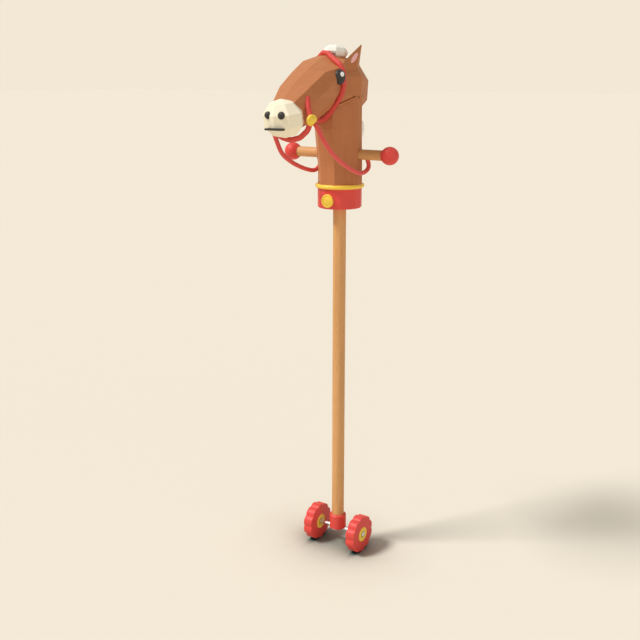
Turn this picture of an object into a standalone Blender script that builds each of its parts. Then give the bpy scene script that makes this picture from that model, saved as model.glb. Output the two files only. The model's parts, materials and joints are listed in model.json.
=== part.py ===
"""A wheeled hobby horse: a faceted wooden head on a pole, with a hand bar, a bridle and two wheels."""

import math

import bmesh
import bpy
from mathutils import Euler, Matrix, Vector
from mathutils.geometry import interpolate_bezier

# Driving sizes, in metres. The origin is on the hand bar's axis, where the rider holds the horse,
# and heights are measured from it. The nose points to -Y, and a place that is given for one side
# of the horse is that of its left side, at +X.
GAP = 0.0003                     # between two pieces that touch
HANDLE_HEIGHT = 0.810            # of the hand bar's axis above the floor

POLE_RADIUS = 0.0125
ROUND_SIDES = 32                 # of the pole and of each bore for it

WHEEL_RADIUS = 0.038
WHEEL_WIDTH = 0.019
WHEEL_STANDOFF = 0.0252          # from the pole socket to a wheel's inner face
LUG_COUNT = 10
LUG_RADIUS = 0.0125
LUG_PHASE = math.radians(18.0)   # turn of the first lug, from the front towards the top
LUG_STEPS = 8
TREAD_EDGE = 0.0007

HUB_RADIUS = 0.0151
HUB_FLANGE = 0.0015
HUB_PROUD = 0.0005               # how far a flange stands out of its wheel
HUB_BARREL_RADIUS = 0.0070
HUB_BARREL_LENGTH = 0.0080
HUB_PLAY = 0.0002                # more than GAP, so that the wheels run free

AXLE_RADIUS = 0.0040
AXLE_SIDES = 24
AXLE_HEAD_RADIUS = 0.0052
AXLE_HEAD_LENGTH = 0.0012
AXLE_SHOULDER_RADIUS = 0.0050
AXLE_SHOULDER_LENGTH = 0.0015

SOCKET_RADIUS = 0.0170
SOCKET_LENGTH = 0.0315
SOCKET_DEPTH = 0.0185            # how far the pole goes in
SOCKET_CHAMFER = 0.0025

SADDLE_THICKNESS = 0.0012
SADDLE_WIDTH = 0.0120
SADDLE_REACH = 0.0148            # from the axle out to the end of an ear
SADDLE_STEPS = 10
SCREW_RADIUS = 0.0014
SCREW_LENGTH = 0.0085
SCREW_HEAD_RADIUS = 0.0027
SCREW_HEAD_HEIGHT = 0.0016
SCREW_OFFSET = 0.0105            # from the axle out to a screw
SCREW_SLOT = 0.0007

COLLAR_BOTTOM = -0.1003
COLLAR_HEIGHT = 0.0413
COLLAR_RADIUS = 0.0417
COLLAR_SIDES = 16
COLLAR_WALL = 0.0030
COLLAR_FLOOR = 0.0040
COLLAR_CHAMFER = 0.0015
RING_RADIUS = 0.0435             # to the middle of the gold ring's section
RING_SECTION = 0.0040
RING_SECTION_SIDES = 8
BUTTON_RADIUS = 0.0124
BUTTON_THICKNESS = 0.0045
BUTTON_CHAMFER = 0.0012
BUTTON_HEIGHT = 0.0158           # of the button's middle above the collar's underside
BUTTON_SHANK_RADIUS = 0.0025
BUTTON_SHANK_LENGTH = 0.0120
PIN_RADIUS = 0.0030
PIN_HEIGHT = 0.0120              # of the pin's axis above the collar's floor
PIN_LENGTH = 0.0640

# The neck's eight corners, as turns from its left side towards its back. Its flats at the sides are
# narrow, and its slanting ones wide.
NECK_CORNERS = [math.radians(turn) for turn in (10, 70, 110, 170, 190, 250, 290, 350)]
NECK_WIDEST_FLAT = math.radians(60.0)
NECK_RADIUS = 0.0448             # to a corner, just above the collar
NECK_STRAIGHT = 0.0360           # length of neck above the collar that doesn't widen
THROAT_HEIGHT = 0.0470
THROAT_RADIUS = 0.0474
THROAT_Y = -0.0075
TENON_LENGTH = 0.0587            # from the throat up to the neck's end, inside the head
TENON_RADIUS = 0.0460
TENON_Y = -0.0050
TENON_SLOPE = math.radians(13.4)  # of the neck's end, up towards the back

BAR_RADIUS = 0.0095
BAR_SIDES = 24
BAR_EDGE = 0.0015
BALL_RADIUS = 0.0167
BALL_X = 0.1069                  # from the middle of the bar to a ball's centre
BALL_SEGMENTS = 20
BALL_RINGS = 14
BAR_PAST_BALL = 0.0030           # how far the bar runs past a ball's centre
WOOD_UNDER_BAR = 0.0060          # left between the bar's hole and the pole's

FACE_CENTRE = Vector((0.0, -0.0900, 0.1200))
FACE_PITCH = math.radians(27.8)          # how far the nose points down
FACE_FRONT_LENGTH = 0.1241
FACE_BACK_LENGTH = 0.1080
FACE_RINGS = 8
# The face's widest section from the forehead's ridge down its left side to the jaw, as (x, up).
FACE_SECTION = (
    (0.0, 0.0354),
    (0.0355, 0.0292),
    (0.0445, 0.0050),
    (0.0390, -0.0220),
    (0.0230, -0.0420),
    (0.0, -0.0490),
)
LEFT_BROW_BACK = (0.0455, 0.0252)        # that section's second corner, behind the face's middle
RIGHT_BROW_BACK = (0.0415, 0.0300)       # the same corner on the other side, where the carver left it higher
FACE_NARROWS = 1.3                       # how much faster its width shrinks than its height
SKULL_CENTRE = Vector((0.0, -0.0050, 0.1192))
SKULL_RADII = (0.0510, 0.0686, 0.0570)
SKULL_PITCH = math.radians(-6.0)
SKULL_SEGMENTS = 8
SKULL_RINGS = 5

MUZZLE_SET_BACK = 0.0221                 # of its centre, from the end of the face, along the face
MUZZLE_DROP = 0.0027                     # and below the face's middle line
MUZZLE_RADII = (0.0405, 0.0300, 0.0335)
MUZZLE_SEGMENTS = 8
MUZZLE_RINGS = 5
MUZZLE_PITCH = math.radians(12.0)
DOWEL_RADIUS = 0.0040
DOWEL_LENGTH = 0.0240
# From the muzzle's centre to a nostril's and to the mouth's.
NOSTRIL_OFFSET = Vector((0.0140, -0.0248, 0.0060))
NOSTRIL_RADII = (0.0064, 0.0045, 0.0064)
MOUTH_OFFSET = Vector((0.0, -0.0250, -0.0170))
MOUTH_SIZE = (0.0335, 0.0120, 0.0033)

EYE_OFFSET = Vector((0.0433, 0.0205, 0.0180))    # from the face's centre to the left eye's
EYE_RADII = (0.0062, 0.0120, 0.0132)
EYE_TURN = math.radians(-17.0)           # about +Z, so that the eye looks a little forward
LIGHT_OFFSET = Vector((0.0055, -0.0010, 0.0045))  # from the eye's centre to its light's
LIGHT_RADII = (0.0018, 0.0042, 0.0042)
SMALL_SEGMENTS = 16
SMALL_RINGS = 8

EAR_OFFSET = Vector((0.0323, 0.0248, 0.0738))    # from the skull's centre to the left ear's tip
EAR_LENGTH = 0.0720
EAR_WIDTH = 0.0816                       # front to back, at the root
EAR_THICKNESS = 0.0280
EAR_LEAN = math.radians(32.0)            # backwards, from upright
EAR_SPLAY = math.radians(6.0)            # outwards
EAR_SIDES = 4
EAR_BLUNT = 0.04                         # radius at the tip, as a share of the root's
INNER_DOWN = 0.0310                      # from the ear's tip to the middle of the pink
INNER_FORWARD = 0.60                     # its place on the outer face, as a share of the way forward
INNER_LEAN = 0.75                        # as a share of the front edge's own lean
INNER_RADII = (0.0050, 0.0030, 0.0130)

FORELOCK_OFFSET = Vector((0.0, -0.0118, 0.0618))  # from the skull's centre
FORELOCK_RADII = (0.0200, 0.0280, 0.0135)
FORELOCK_PITCH = math.radians(-5.0)
LOCK_RADII = (0.0165, 0.0200, 0.0260)
LOCK_SEGMENTS = 8
LOCK_RINGS = 6
# Middle of each lock of the mane, as (y, height, lean), from the crown down.
LOCKS = (
    (0.0360, 0.1520, math.radians(35.0)),
    (0.0520, 0.1180, math.radians(8.0)),
    (0.0430, 0.0790, math.radians(-8.0)),
    (0.0545, 0.0420, math.radians(-5.0)),
)

STRAP_RADIUS = 0.0044
STRAP_BEVEL_STEPS = 2
STRAP_STEPS = 12                         # straight lengths in a full loop
HEADSTALL_OFFSET = Vector((0.0, 0.0392, 0.0034))  # from the face's centre
HEADSTALL_RADII = (0.0412, 0.0567)       # half width and half height of the loop
HEADSTALL_TILT = math.radians(-14.7)
NOSEBAND_OFFSET = Vector((0.0, 0.0201, 0.0077))  # from the muzzle's centre
NOSEBAND_RADII = (0.0448, 0.0448)
NOSEBAND_TILT = math.radians(1.0)
NOSEBAND_RISE = math.radians(38.0)       # of an end of the noseband, inside the cheek
NOSEBAND_TUCK = 0.20                     # how far that end turns in, as a share of the radius
MEDALLION_DROP = math.radians(13.0)      # below the middle of the noseband's loop
MEDALLION_RADII = (0.0066, 0.0100, 0.0100)

REIN_RADIUS = 0.0041
REIN_BEVEL_STEPS = 3
REIN_STEP = 0.0150
REIN_INTO_BAR = 0.0036
# Each rein from behind its medallion to the underside of the hand bar, as (x, y, height).
REIN_ROUTES = {
    "left": (
        (0.0470, -0.1535, 0.0620),
        (0.0515, -0.1475, 0.0500),
        (0.0550, -0.1370, 0.0320),
        (0.0560, -0.1120, 0.0095),
        (0.0560, -0.0850, -0.0065),
        (0.0560, -0.0540, -0.0210),
        (0.0565, -0.0240, -0.0310),
        (0.0570, -0.0050, -0.0312),
        (0.0570, 0.0085, -0.0250),
        (0.0570, 0.0095, -0.0170),
    ),
    "right": (
        (-0.0470, -0.1535, 0.0620),
        (-0.0520, -0.1337, 0.0379),
        (-0.0550, -0.1100, 0.0067),
        (-0.0550, -0.0840, -0.0103),
        (-0.0540, -0.0506, -0.0240),
        (-0.0520, -0.0215, -0.0318),
        (-0.0508, -0.0050, -0.0320),
        (-0.0500, 0.0065, -0.0250),
        (-0.0500, 0.0080, -0.0170),
    ),
}

# Colours as linear RGB, with roughness and metallic.
RED = ("red_paint", (0.560, 0.052, 0.040), 0.45, 0.0)
STRAP_RED = ("red_leather", (0.500, 0.050, 0.040), 0.60, 0.0)
REIN_RED = ("red_cord", (0.560, 0.060, 0.058), 0.75, 0.0)
GOLD = ("gold_paint", (0.900, 0.520, 0.070), 0.35, 0.0)
DOWEL_WOOD = ("dowel_wood", (0.580, 0.300, 0.125), 0.60, 0.0)
HEAD_WOOD = ("brown_wood", (0.420, 0.165, 0.080), 0.60, 0.0)
CREAM = ("cream_paint", (0.860, 0.740, 0.520), 0.60, 0.0)
DARK = ("dark_paint", (0.045, 0.040, 0.036), 0.45, 0.0)
WHITE = ("white_paint", (0.920, 0.900, 0.860), 0.40, 0.0)
PINK = ("pink_paint", (0.800, 0.300, 0.300), 0.60, 0.0)
STEEL = ("steel", (0.600, 0.610, 0.620), 0.28, 1.0)


def collection(name):
    made = bpy.data.collections.new(name)
    bpy.context.scene.collection.children.link(made)
    return made


for old in list(bpy.data.objects):
    bpy.data.objects.remove(old, do_unlink=True)

PARTS = collection("hobby_horse")
CUTTERS = collection("hobby_horse_cutters")
CUTTERS.hide_render = True


def material(name, colour, roughness, metallic):
    made = bpy.data.materials.get(name)
    if made is None:
        made = bpy.data.materials.new(name)
        made.use_nodes = True
        surface = made.node_tree.nodes["Principled BSDF"].inputs
        surface["Base Color"].default_value = (*colour, 1.0)
        surface["Roughness"].default_value = roughness
        surface["Metallic"].default_value = metallic
        made.diffuse_color = (*colour, 1.0)
    return made


def show(name, data, location=(0.0, 0.0, 0.0), rotation=(0.0, 0.0, 0.0), parent=None):
    """Puts a new object in the scene: a cutter if its name ends in _cut, else a part."""
    obj = bpy.data.objects.new(name, data)
    if name.endswith("_cut"):
        CUTTERS.objects.link(obj)
        obj.hide_render = True
        obj.display_type = "WIRE"
    else:
        PARTS.objects.link(obj)
    obj.parent = parent
    obj.location = location
    obj.rotation_euler = rotation
    return obj


def paint(obj, look):
    obj.data.materials.clear()
    obj.data.materials.append(material(*look))
    return obj


def boolean(obj, other, operation="DIFFERENCE"):
    modifier = obj.modifiers.new(other.name, "BOOLEAN")
    modifier.operation = operation
    modifier.solver = "EXACT"
    modifier.object = other


def bmesh_data(name, bm):
    bmesh.ops.recalc_face_normals(bm, faces=bm.faces)
    data = bpy.data.meshes.new(name)
    bm.to_mesh(data)
    bm.free()
    return data


def smooth(obj, angle=35.0):
    obj.data.shade_smooth()
    obj.data.set_sharp_from_angle(angle=math.radians(angle))
    return obj


def evaluated_mesh(obj):
    graph = bpy.context.evaluated_depsgraph_get()
    return bpy.data.meshes.new_from_object(obj.evaluated_get(graph))


def mesh_of_curve(name, curve):
    """The curve with its caps welded on, as a closed mesh that a Boolean can use."""
    guide = bpy.data.objects.new(name, curve)
    PARTS.objects.link(guide)
    data = evaluated_mesh(guide)
    bpy.data.objects.remove(guide, do_unlink=True)
    bpy.data.curves.remove(curve)
    bm = bmesh.new()
    bm.from_mesh(data)
    bmesh.ops.remove_doubles(bm, verts=bm.verts, dist=0.00001)
    bpy.data.meshes.remove(data)
    return bmesh_data(name, bm)


def turned(name, profile, sides, phase=0.0, closed=False, rounded=True, **place):
    """A profile of (radius, height) points, run down its outer side, turned about Z."""
    count = len(profile)
    edges = [(i, i + 1) for i in range(count - 1)]
    if closed:
        edges.append((count - 1, 0))
    turn = Matrix.Rotation(phase, 3, "Z")
    data = bpy.data.meshes.new(name)
    data.from_pydata([turn @ Vector((r, 0.0, z)) for r, z in profile], edges, [])
    obj = show(name, data, **place)
    screw = obj.modifiers.new("turn", "SCREW")
    screw.axis = "Z"
    screw.steps = sides
    screw.render_steps = sides
    screw.use_merge_vertices = True
    screw.merge_threshold = 0.00001
    screw.use_smooth_shade = False
    if rounded:
        obj.data = evaluated_mesh(obj)
        obj.modifiers.clear()
        smooth(obj)
    return obj


def ellipsoid(name, centre, radii, segments, rings, rotation=(0.0, 0.0, 0.0), grow=0.0):
    """A faceted ball whose poles lie on its own Z, with a corner of each ring on its own Y."""
    bm = bmesh.new()
    stretch = Matrix.Diagonal((*(r + grow for r in radii), 1.0))
    quarter = Matrix.Rotation(math.pi / 2, 4, "Z")
    bmesh.ops.create_uvsphere(bm, u_segments=segments, v_segments=rings, radius=1.0, matrix=stretch @ quarter)
    return show(name, bmesh_data(name, bm), location=centre, rotation=rotation)


def cylinder(name, centre, radius, length, sides, rotation=(0.0, 0.0, 0.0), grow=0.0):
    bm = bmesh.new()
    bmesh.ops.create_cone(
        bm,
        cap_ends=True,
        segments=sides,
        radius1=radius + grow,
        radius2=radius + grow,
        depth=length + 2 * grow,
    )
    return show(name, bmesh_data(name, bm), location=centre, rotation=rotation)


def box(name, centre, size):
    bm = bmesh.new()
    bmesh.ops.create_cube(bm, size=1.0, matrix=Matrix.Diagonal((*size, 1.0)))
    return show(name, bmesh_data(name, bm), location=centre)


def tube(name, points, radius, bevel_steps, cyclic=False, grow=0.0):
    """A round tube along the points."""
    curve = bpy.data.curves.new(name, "CURVE")
    curve.dimensions = "3D"
    curve.twist_mode = "MINIMUM"
    curve.bevel_depth = radius + grow
    curve.bevel_resolution = bevel_steps
    curve.use_fill_caps = not cyclic
    spline = curve.splines.new("POLY")
    spline.points.add(len(points) - 1)
    for place, point in zip(spline.points, points):
        place.co = (*point, 1.0)
    spline.use_cyclic_u = cyclic
    return show(name, mesh_of_curve(name, curve))


def slab(name, outline, thickness, edge=0.0, **place):
    """A flat outline in the XY plane as a closed plate, with its edges chamfered if edge is given."""
    curve = bpy.data.curves.new(name, "CURVE")
    curve.dimensions = "2D"
    curve.fill_mode = "BOTH"
    curve.extrude = thickness / 2 - edge
    curve.bevel_depth = edge
    curve.bevel_resolution = 0
    curve.offset = -edge
    spline = curve.splines.new("POLY")
    spline.points.add(len(outline) - 1)
    for spot, (x, y) in zip(spline.points, outline):
        spot.co = (x, y, 0.0, 1.0)
    spline.use_cyclic_u = True
    return show(name, mesh_of_curve(name, curve), **place)


def arc(radius, start, end, steps, centre=(0.0, 0.0)):
    """Points on an arc in a plane, both ends included."""
    angles = [start + (end - start) * i / steps for i in range(steps + 1)]
    return [(centre[0] + radius * math.cos(a), centre[1] + radius * math.sin(a)) for a in angles]


ALONG_X = (0.0, math.pi / 2, 0.0)        # turns a piece's own Z to +X
ALONG_FRONT = (math.pi / 2, 0.0, 0.0)    # turns a piece's own Z to -Y
SIDES = (("left", 1), ("right", -1))


def mirrored(point, side):
    return Vector((point[0] * side, point[1], point[2]))


# Pole, and the cutter for every bore that it stands in.
FLOOR = -HANDLE_HEIGHT
AXLE_HEIGHT = FLOOR + WHEEL_RADIUS
SOCKET_BOTTOM = AXLE_HEIGHT
SOCKET_TOP = SOCKET_BOTTOM + SOCKET_LENGTH
SEAT_HEIGHT = SOCKET_TOP - SOCKET_DEPTH
POLE_BOTTOM = SEAT_HEIGHT + GAP
POLE_TOP = -BAR_RADIUS - WOOD_UNDER_BAR
PIN_Z = COLLAR_BOTTOM + COLLAR_FLOOR + PIN_HEIGHT


def pole():
    length = POLE_TOP - POLE_BOTTOM
    middle = (0.0, 0.0, (POLE_TOP + POLE_BOTTOM) / 2)
    made = paint(cylinder("pole", middle, POLE_RADIUS, length, ROUND_SIDES), DOWEL_WOOD)
    hole = cylinder("pole_pin_hole_cut", (0, 0, PIN_Z), PIN_RADIUS, PIN_LENGTH, AXLE_SIDES, ALONG_X, GAP)
    boolean(made, hole)
    return smooth(made)


def pole_cutter(name):
    length = POLE_TOP - POLE_BOTTOM
    middle = (0.0, 0.0, (POLE_TOP + POLE_BOTTOM) / 2)
    return cylinder(name, middle, POLE_RADIUS, length, ROUND_SIDES, grow=GAP)


# Axle, its socket under the pole, and the saddle that holds it there.
WHEEL_INNER = SOCKET_RADIUS + WHEEL_STANDOFF
WHEEL_X = WHEEL_INNER + WHEEL_WIDTH / 2
WHEEL_OUTER = WHEEL_INNER + WHEEL_WIDTH
HUB_OUTER = WHEEL_OUTER + HUB_PROUD
HUB_INNER = WHEEL_INNER - HUB_PROUD


def axle():
    """A steel rod with peened ends and two small shoulders that keep the wheels apart."""
    head = HUB_OUTER + GAP + HUB_PLAY
    end = head + AXLE_HEAD_LENGTH
    shoulder = HUB_INNER - GAP - HUB_PLAY
    half = [
        (0.0, end),
        (AXLE_HEAD_RADIUS * 0.75, end),
        (AXLE_HEAD_RADIUS, head + AXLE_HEAD_LENGTH * 0.4),
        (AXLE_HEAD_RADIUS, head),
        (AXLE_RADIUS, head),
        (AXLE_RADIUS, shoulder),
        (AXLE_SHOULDER_RADIUS, shoulder),
        (AXLE_SHOULDER_RADIUS, shoulder - AXLE_SHOULDER_LENGTH),
        (AXLE_RADIUS, shoulder - AXLE_SHOULDER_LENGTH),
    ]
    profile = half + [(r, -z) for r, z in reversed(half)]
    return paint(turned("axle", profile, AXLE_SIDES, location=(0, 0, AXLE_HEIGHT), rotation=ALONG_X), STEEL)


def axle_socket():
    """The turned ferrule on the pole's foot, grooved across its underside for the axle."""
    bore = POLE_RADIUS + GAP
    profile = [
        (0.0, SEAT_HEIGHT),
        (bore, SEAT_HEIGHT),
        (bore, SOCKET_TOP),
        (SOCKET_RADIUS - SOCKET_CHAMFER, SOCKET_TOP),
        (SOCKET_RADIUS, SOCKET_TOP - SOCKET_CHAMFER),
        (SOCKET_RADIUS, SOCKET_BOTTOM + SOCKET_CHAMFER / 2),
        (SOCKET_RADIUS - SOCKET_CHAMFER / 2, SOCKET_BOTTOM),
        (0.0, SOCKET_BOTTOM),
    ]
    made = paint(turned("axle_socket", profile, ROUND_SIDES), RED)
    length = 2 * SOCKET_RADIUS + WHEEL_STANDOFF
    middle = (0, 0, AXLE_HEIGHT)
    boolean(made, cylinder("axle_groove_cut", middle, AXLE_RADIUS, length, AXLE_SIDES, ALONG_X, GAP))
    for name, y in (("front", -SCREW_OFFSET), ("back", SCREW_OFFSET)):
        middle = (0, y, SOCKET_BOTTOM)
        size = (SCREW_RADIUS, 2 * SCREW_LENGTH)
        boolean(made, cylinder(f"{name}_screw_hole_cut", middle, *size, SMALL_SEGMENTS, grow=GAP))
    return made


def axle_saddle():
    """A steel strap bent round the underside of the axle, with a screw through each ear."""
    inner = AXLE_RADIUS + 2 * GAP
    outer = inner + SADDLE_THICKNESS
    top = -GAP
    bottom = top - SADDLE_THICKNESS
    dip = math.asin(-top / inner)
    root = math.asin(-bottom / outer)
    outline = [(SADDLE_REACH, bottom), (SADDLE_REACH, top)]
    outline += arc(inner, -dip, dip - math.pi, SADDLE_STEPS)
    outline += [(-SADDLE_REACH, top), (-SADDLE_REACH, bottom)]
    outline += arc(outer, root - math.pi, -root, SADDLE_STEPS)
    # The outline lies in XY, and this turn stands its X along the world's Y.
    upright = Matrix(((0, 0, 1), (1, 0, 0), (0, 1, 0))).to_euler()
    made = slab("axle_saddle", outline, SADDLE_WIDTH, location=(0, 0, AXLE_HEIGHT), rotation=upright)
    for name, y in (("front", -SCREW_OFFSET), ("back", SCREW_OFFSET)):
        middle = (0, y, SOCKET_BOTTOM)
        size = (SCREW_RADIUS, SCREW_LENGTH)
        boolean(made, cylinder(f"{name}_ear_hole_cut", middle, *size, SMALL_SEGMENTS, grow=GAP))
    return paint(made, STEEL)


def saddle_screws():
    """Two round-headed screws, driven up into the socket, each with a slot."""
    under_head = -SADDLE_THICKNESS - 2 * GAP
    head = under_head - SCREW_HEAD_HEIGHT
    profile = [
        (0.0, under_head + SCREW_LENGTH),
        (SCREW_RADIUS * 0.6, under_head + SCREW_LENGTH),
        (SCREW_RADIUS, under_head + SCREW_LENGTH - SCREW_RADIUS),
        (SCREW_RADIUS, under_head),
        (SCREW_HEAD_RADIUS, under_head),
        (SCREW_HEAD_RADIUS, under_head - SCREW_HEAD_HEIGHT * 0.3),
        (SCREW_HEAD_RADIUS * 0.6, head),
        (0.0, head),
    ]
    for name, y in (("front", -SCREW_OFFSET), ("back", SCREW_OFFSET)):
        made = turned(f"{name}_screw", profile, SMALL_SEGMENTS, location=(0, y, SOCKET_BOTTOM))
        slot = box(
            f"{name}_slot_cut",
            (0, y, SOCKET_BOTTOM + head),
            (3 * SCREW_HEAD_RADIUS, SCREW_SLOT, 2 * SCREW_SLOT),
        )
        boolean(made, slot)
        paint(made, STEEL)


# Wheels, each a lobed disc with a flanged bush in each face.

def lug_outline():
    """The wheel's rim: equal arcs about centres inside the rim, which meet in sharp notches."""
    middle = WHEEL_RADIUS - LUG_RADIUS
    half_gap = middle * math.sin(math.pi / LUG_COUNT)
    reach = middle * math.cos(math.pi / LUG_COUNT) + math.sqrt(LUG_RADIUS**2 - half_gap**2)
    notch = math.pi / LUG_COUNT
    # Angle of a notch as seen from its lug's centre.
    swing = math.atan2(reach * math.sin(notch), reach * math.cos(notch) - middle)
    outline = []
    for lug in range(LUG_COUNT):
        turn = 2 * math.pi * lug / LUG_COUNT + LUG_PHASE
        centre = (middle * math.cos(turn), middle * math.sin(turn))
        outline += arc(LUG_RADIUS, turn - swing, turn + swing, LUG_STEPS, centre)[:-1]
    return outline


def bush(name, side, inward, grow=0.0, **place):
    """A flanged bush on +X or -X, which presses into a wheel's face and runs on the axle."""
    face = HUB_FLANGE + grow
    bore = (AXLE_RADIUS + GAP + HUB_PLAY) / math.cos(math.pi / AXLE_SIDES)
    if grow:
        bore = 0.0
    profile = [
        (bore, 0.0),
        (HUB_RADIUS + grow - HUB_FLANGE / 3, 0.0),
        (HUB_RADIUS + grow, -HUB_FLANGE / 3),
        (HUB_RADIUS + grow, -face),
        (HUB_BARREL_RADIUS + grow, -face),
        (HUB_BARREL_RADIUS + grow, -HUB_BARREL_LENGTH - grow),
        (bore, -HUB_BARREL_LENGTH - grow),
    ]
    heading = side if not inward else -side
    turn = (0.0, heading * math.pi / 2, 0.0)
    return turned(name, profile, AXLE_SIDES, closed=not grow, rotation=turn, **place)


def wheels():
    # The outline lies in XY: this turn sends its X to the front and its Y up.
    upright = Matrix(((0, 0, -1), (-1, 0, 0), (0, 1, 0))).to_euler()
    bore = (AXLE_RADIUS + HUB_BARREL_RADIUS) / 2
    for side_name, side in SIDES:
        middle = (side * WHEEL_X, 0.0, AXLE_HEIGHT)
        hinge = bpy.data.objects.new(f"{side_name}_wheel_hinge", None)
        hinge.location = middle
        PARTS.objects.link(hinge)
        name = f"{side_name}_wheel"
        wheel = slab(name, lug_outline(), WHEEL_WIDTH, TREAD_EDGE, rotation=upright, parent=hinge)
        boolean(wheel, cylinder(f"{name}_bore_cut", middle, bore, 2 * WHEEL_WIDTH, AXLE_SIDES, ALONG_X))
        smooth(paint(wheel, RED))
        for place, inward in (("outer", False), ("inner", True)):
            heading = side if not inward else -side
            face = (heading * (WHEEL_WIDTH / 2 + HUB_PROUD), 0.0, 0.0)
            hub = bush(f"{side_name}_{place}_bush", side, inward, location=face, parent=hinge)
            seat = bush(f"{side_name}_{place}_bush_cut", side, inward, grow=GAP, location=face, parent=hinge)
            boolean(wheel, seat)
            paint(hub, GOLD)


# Collar, its ring and button, and the pin that locks the neck and the pole together.
COLLAR_TOP = COLLAR_BOTTOM + COLLAR_HEIGHT
COLLAR_PHASE = math.pi / COLLAR_SIDES
SPIGOT_BOTTOM = COLLAR_BOTTOM + COLLAR_FLOOR + GAP
SPIGOT_RADIUS = (COLLAR_RADIUS - COLLAR_WALL) * math.cos(math.pi / COLLAR_SIDES) - GAP
FRONT_FLAT = COLLAR_RADIUS * math.cos(math.pi / COLLAR_SIDES)


def collar_cup(name, grow=0.0):
    bore = (POLE_RADIUS + GAP) / math.cos(math.pi / COLLAR_SIDES)
    floor = COLLAR_BOTTOM + COLLAR_FLOOR
    cavity = COLLAR_RADIUS - COLLAR_WALL
    profile = [
        (cavity, COLLAR_TOP + grow),
        (COLLAR_RADIUS + grow, COLLAR_TOP + grow),
        (COLLAR_RADIUS + grow, COLLAR_BOTTOM + COLLAR_CHAMFER),
        (COLLAR_RADIUS + grow - COLLAR_CHAMFER, COLLAR_BOTTOM),
        (bore, COLLAR_BOTTOM),
        (bore, floor),
        (cavity, floor),
    ]
    return turned(name, profile, COLLAR_SIDES, phase=COLLAR_PHASE, closed=True, rounded=False)


def button(name, grow=0.0):
    """A flat gold plug on the collar's front, whose shank runs into the neck's spigot."""
    rim = BUTTON_RADIUS + grow
    face = BUTTON_THICKNESS
    profile = [
        (0.0, face),
        (rim - 2 * BUTTON_CHAMFER, face),
        (rim - BUTTON_CHAMFER, face - BUTTON_CHAMFER / 3),
        (rim, face - BUTTON_CHAMFER),
        (rim, GAP - grow),
        (BUTTON_SHANK_RADIUS + grow, GAP - grow),
        (BUTTON_SHANK_RADIUS + grow, -BUTTON_SHANK_LENGTH - grow),
        (0.0, -BUTTON_SHANK_LENGTH - grow),
    ]
    place = (0.0, -FRONT_FLAT, COLLAR_BOTTOM + BUTTON_HEIGHT)
    return turned(name, profile, AXLE_SIDES, location=place, rotation=ALONG_FRONT)


def neck(name, grow=0.0):
    """Eight-sided sections from the spigot in the collar up to the tenon inside the head."""
    shoulder = COLLAR_TOP + GAP
    end = THROAT_HEIGHT + TENON_LENGTH + grow
    sections = [
        (SPIGOT_BOTTOM, SPIGOT_RADIUS, 0.0, 0.0),
        (shoulder, SPIGOT_RADIUS, 0.0, 0.0),
        (shoulder, NECK_RADIUS, 0.0, 0.0),
        (COLLAR_TOP + NECK_STRAIGHT, NECK_RADIUS, 0.0, 0.0),
        (THROAT_HEIGHT, THROAT_RADIUS, THROAT_Y, 0.0),
        (end, TENON_RADIUS, TENON_Y, math.tan(TENON_SLOPE)),
    ]
    bm = bmesh.new()
    rings = []
    for height, radius, y, slope in sections:
        ring = []
        for turn in NECK_CORNERS:
            reach = radius + grow / math.cos(NECK_WIDEST_FLAT / 2)
            back = reach * math.sin(turn)
            ring.append(bm.verts.new((reach * math.cos(turn), y + back, height + back * slope)))
        rings.append(ring)
    count = len(NECK_CORNERS)
    for low, high in zip(rings, rings[1:]):
        for k in range(count):
            after = (k + 1) % count
            bm.faces.new((low[k], low[after], high[after], high[k]))
    bm.faces.new(rings[0][::-1])
    bm.faces.new(rings[-1])
    return show(name, bmesh_data(name, bm))


def collar_group():
    collar = paint(collar_cup("collar"), RED)
    boolean(collar, button("button_cut", grow=GAP))

    middle = (RING_RADIUS, 0.0)
    ring_profile = arc(RING_SECTION, math.pi / 2, -3 * math.pi / 2, RING_SECTION_SIDES, middle)[:-1]
    ring = turned(
        "collar_ring",
        ring_profile,
        COLLAR_SIDES,
        phase=COLLAR_PHASE,
        closed=True,
        rounded=False,
        location=(0, 0, COLLAR_TOP),
    )
    boolean(ring, neck("neck_in_ring_cut", grow=GAP))
    boolean(ring, collar_cup("collar_in_ring_cut", grow=GAP))
    paint(ring, GOLD)
    paint(button("collar_button"), GOLD)
    pin = cylinder("pole_pin", (0, 0, PIN_Z), PIN_RADIUS, PIN_LENGTH, AXLE_SIDES, ALONG_X)
    smooth(paint(pin, DOWEL_WOOD))


def neck_block():
    made = paint(neck("neck_block"), HEAD_WOOD)
    boolean(made, pole_cutter("pole_in_neck_cut"))
    boolean(made, bar("bar_in_neck_cut", grow=GAP))
    pin_hole = cylinder("pin_in_neck_cut", (0, 0, PIN_Z), PIN_RADIUS, PIN_LENGTH, AXLE_SIDES, ALONG_X, GAP)
    boolean(made, pin_hole)
    boolean(made, button("button_in_neck_cut", grow=GAP))
    for index in range(len(LOCKS)):
        boolean(made, mane_lock(f"lock_{index + 1}_in_neck_cut", index, grow=GAP))
    return made


# Hand bar and its balls.

def bar(name, grow=0.0):
    end = BALL_X + BAR_PAST_BALL
    reach = BAR_RADIUS + grow
    profile = [
        (0.0, end + grow),
        (reach - BAR_EDGE, end + grow),
        (reach, end + grow - BAR_EDGE),
        (reach, -end - grow + BAR_EDGE),
        (reach - BAR_EDGE, -end - grow),
        (0.0, -end - grow),
    ]
    return turned(name, profile, BAR_SIDES, rotation=ALONG_X)


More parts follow.
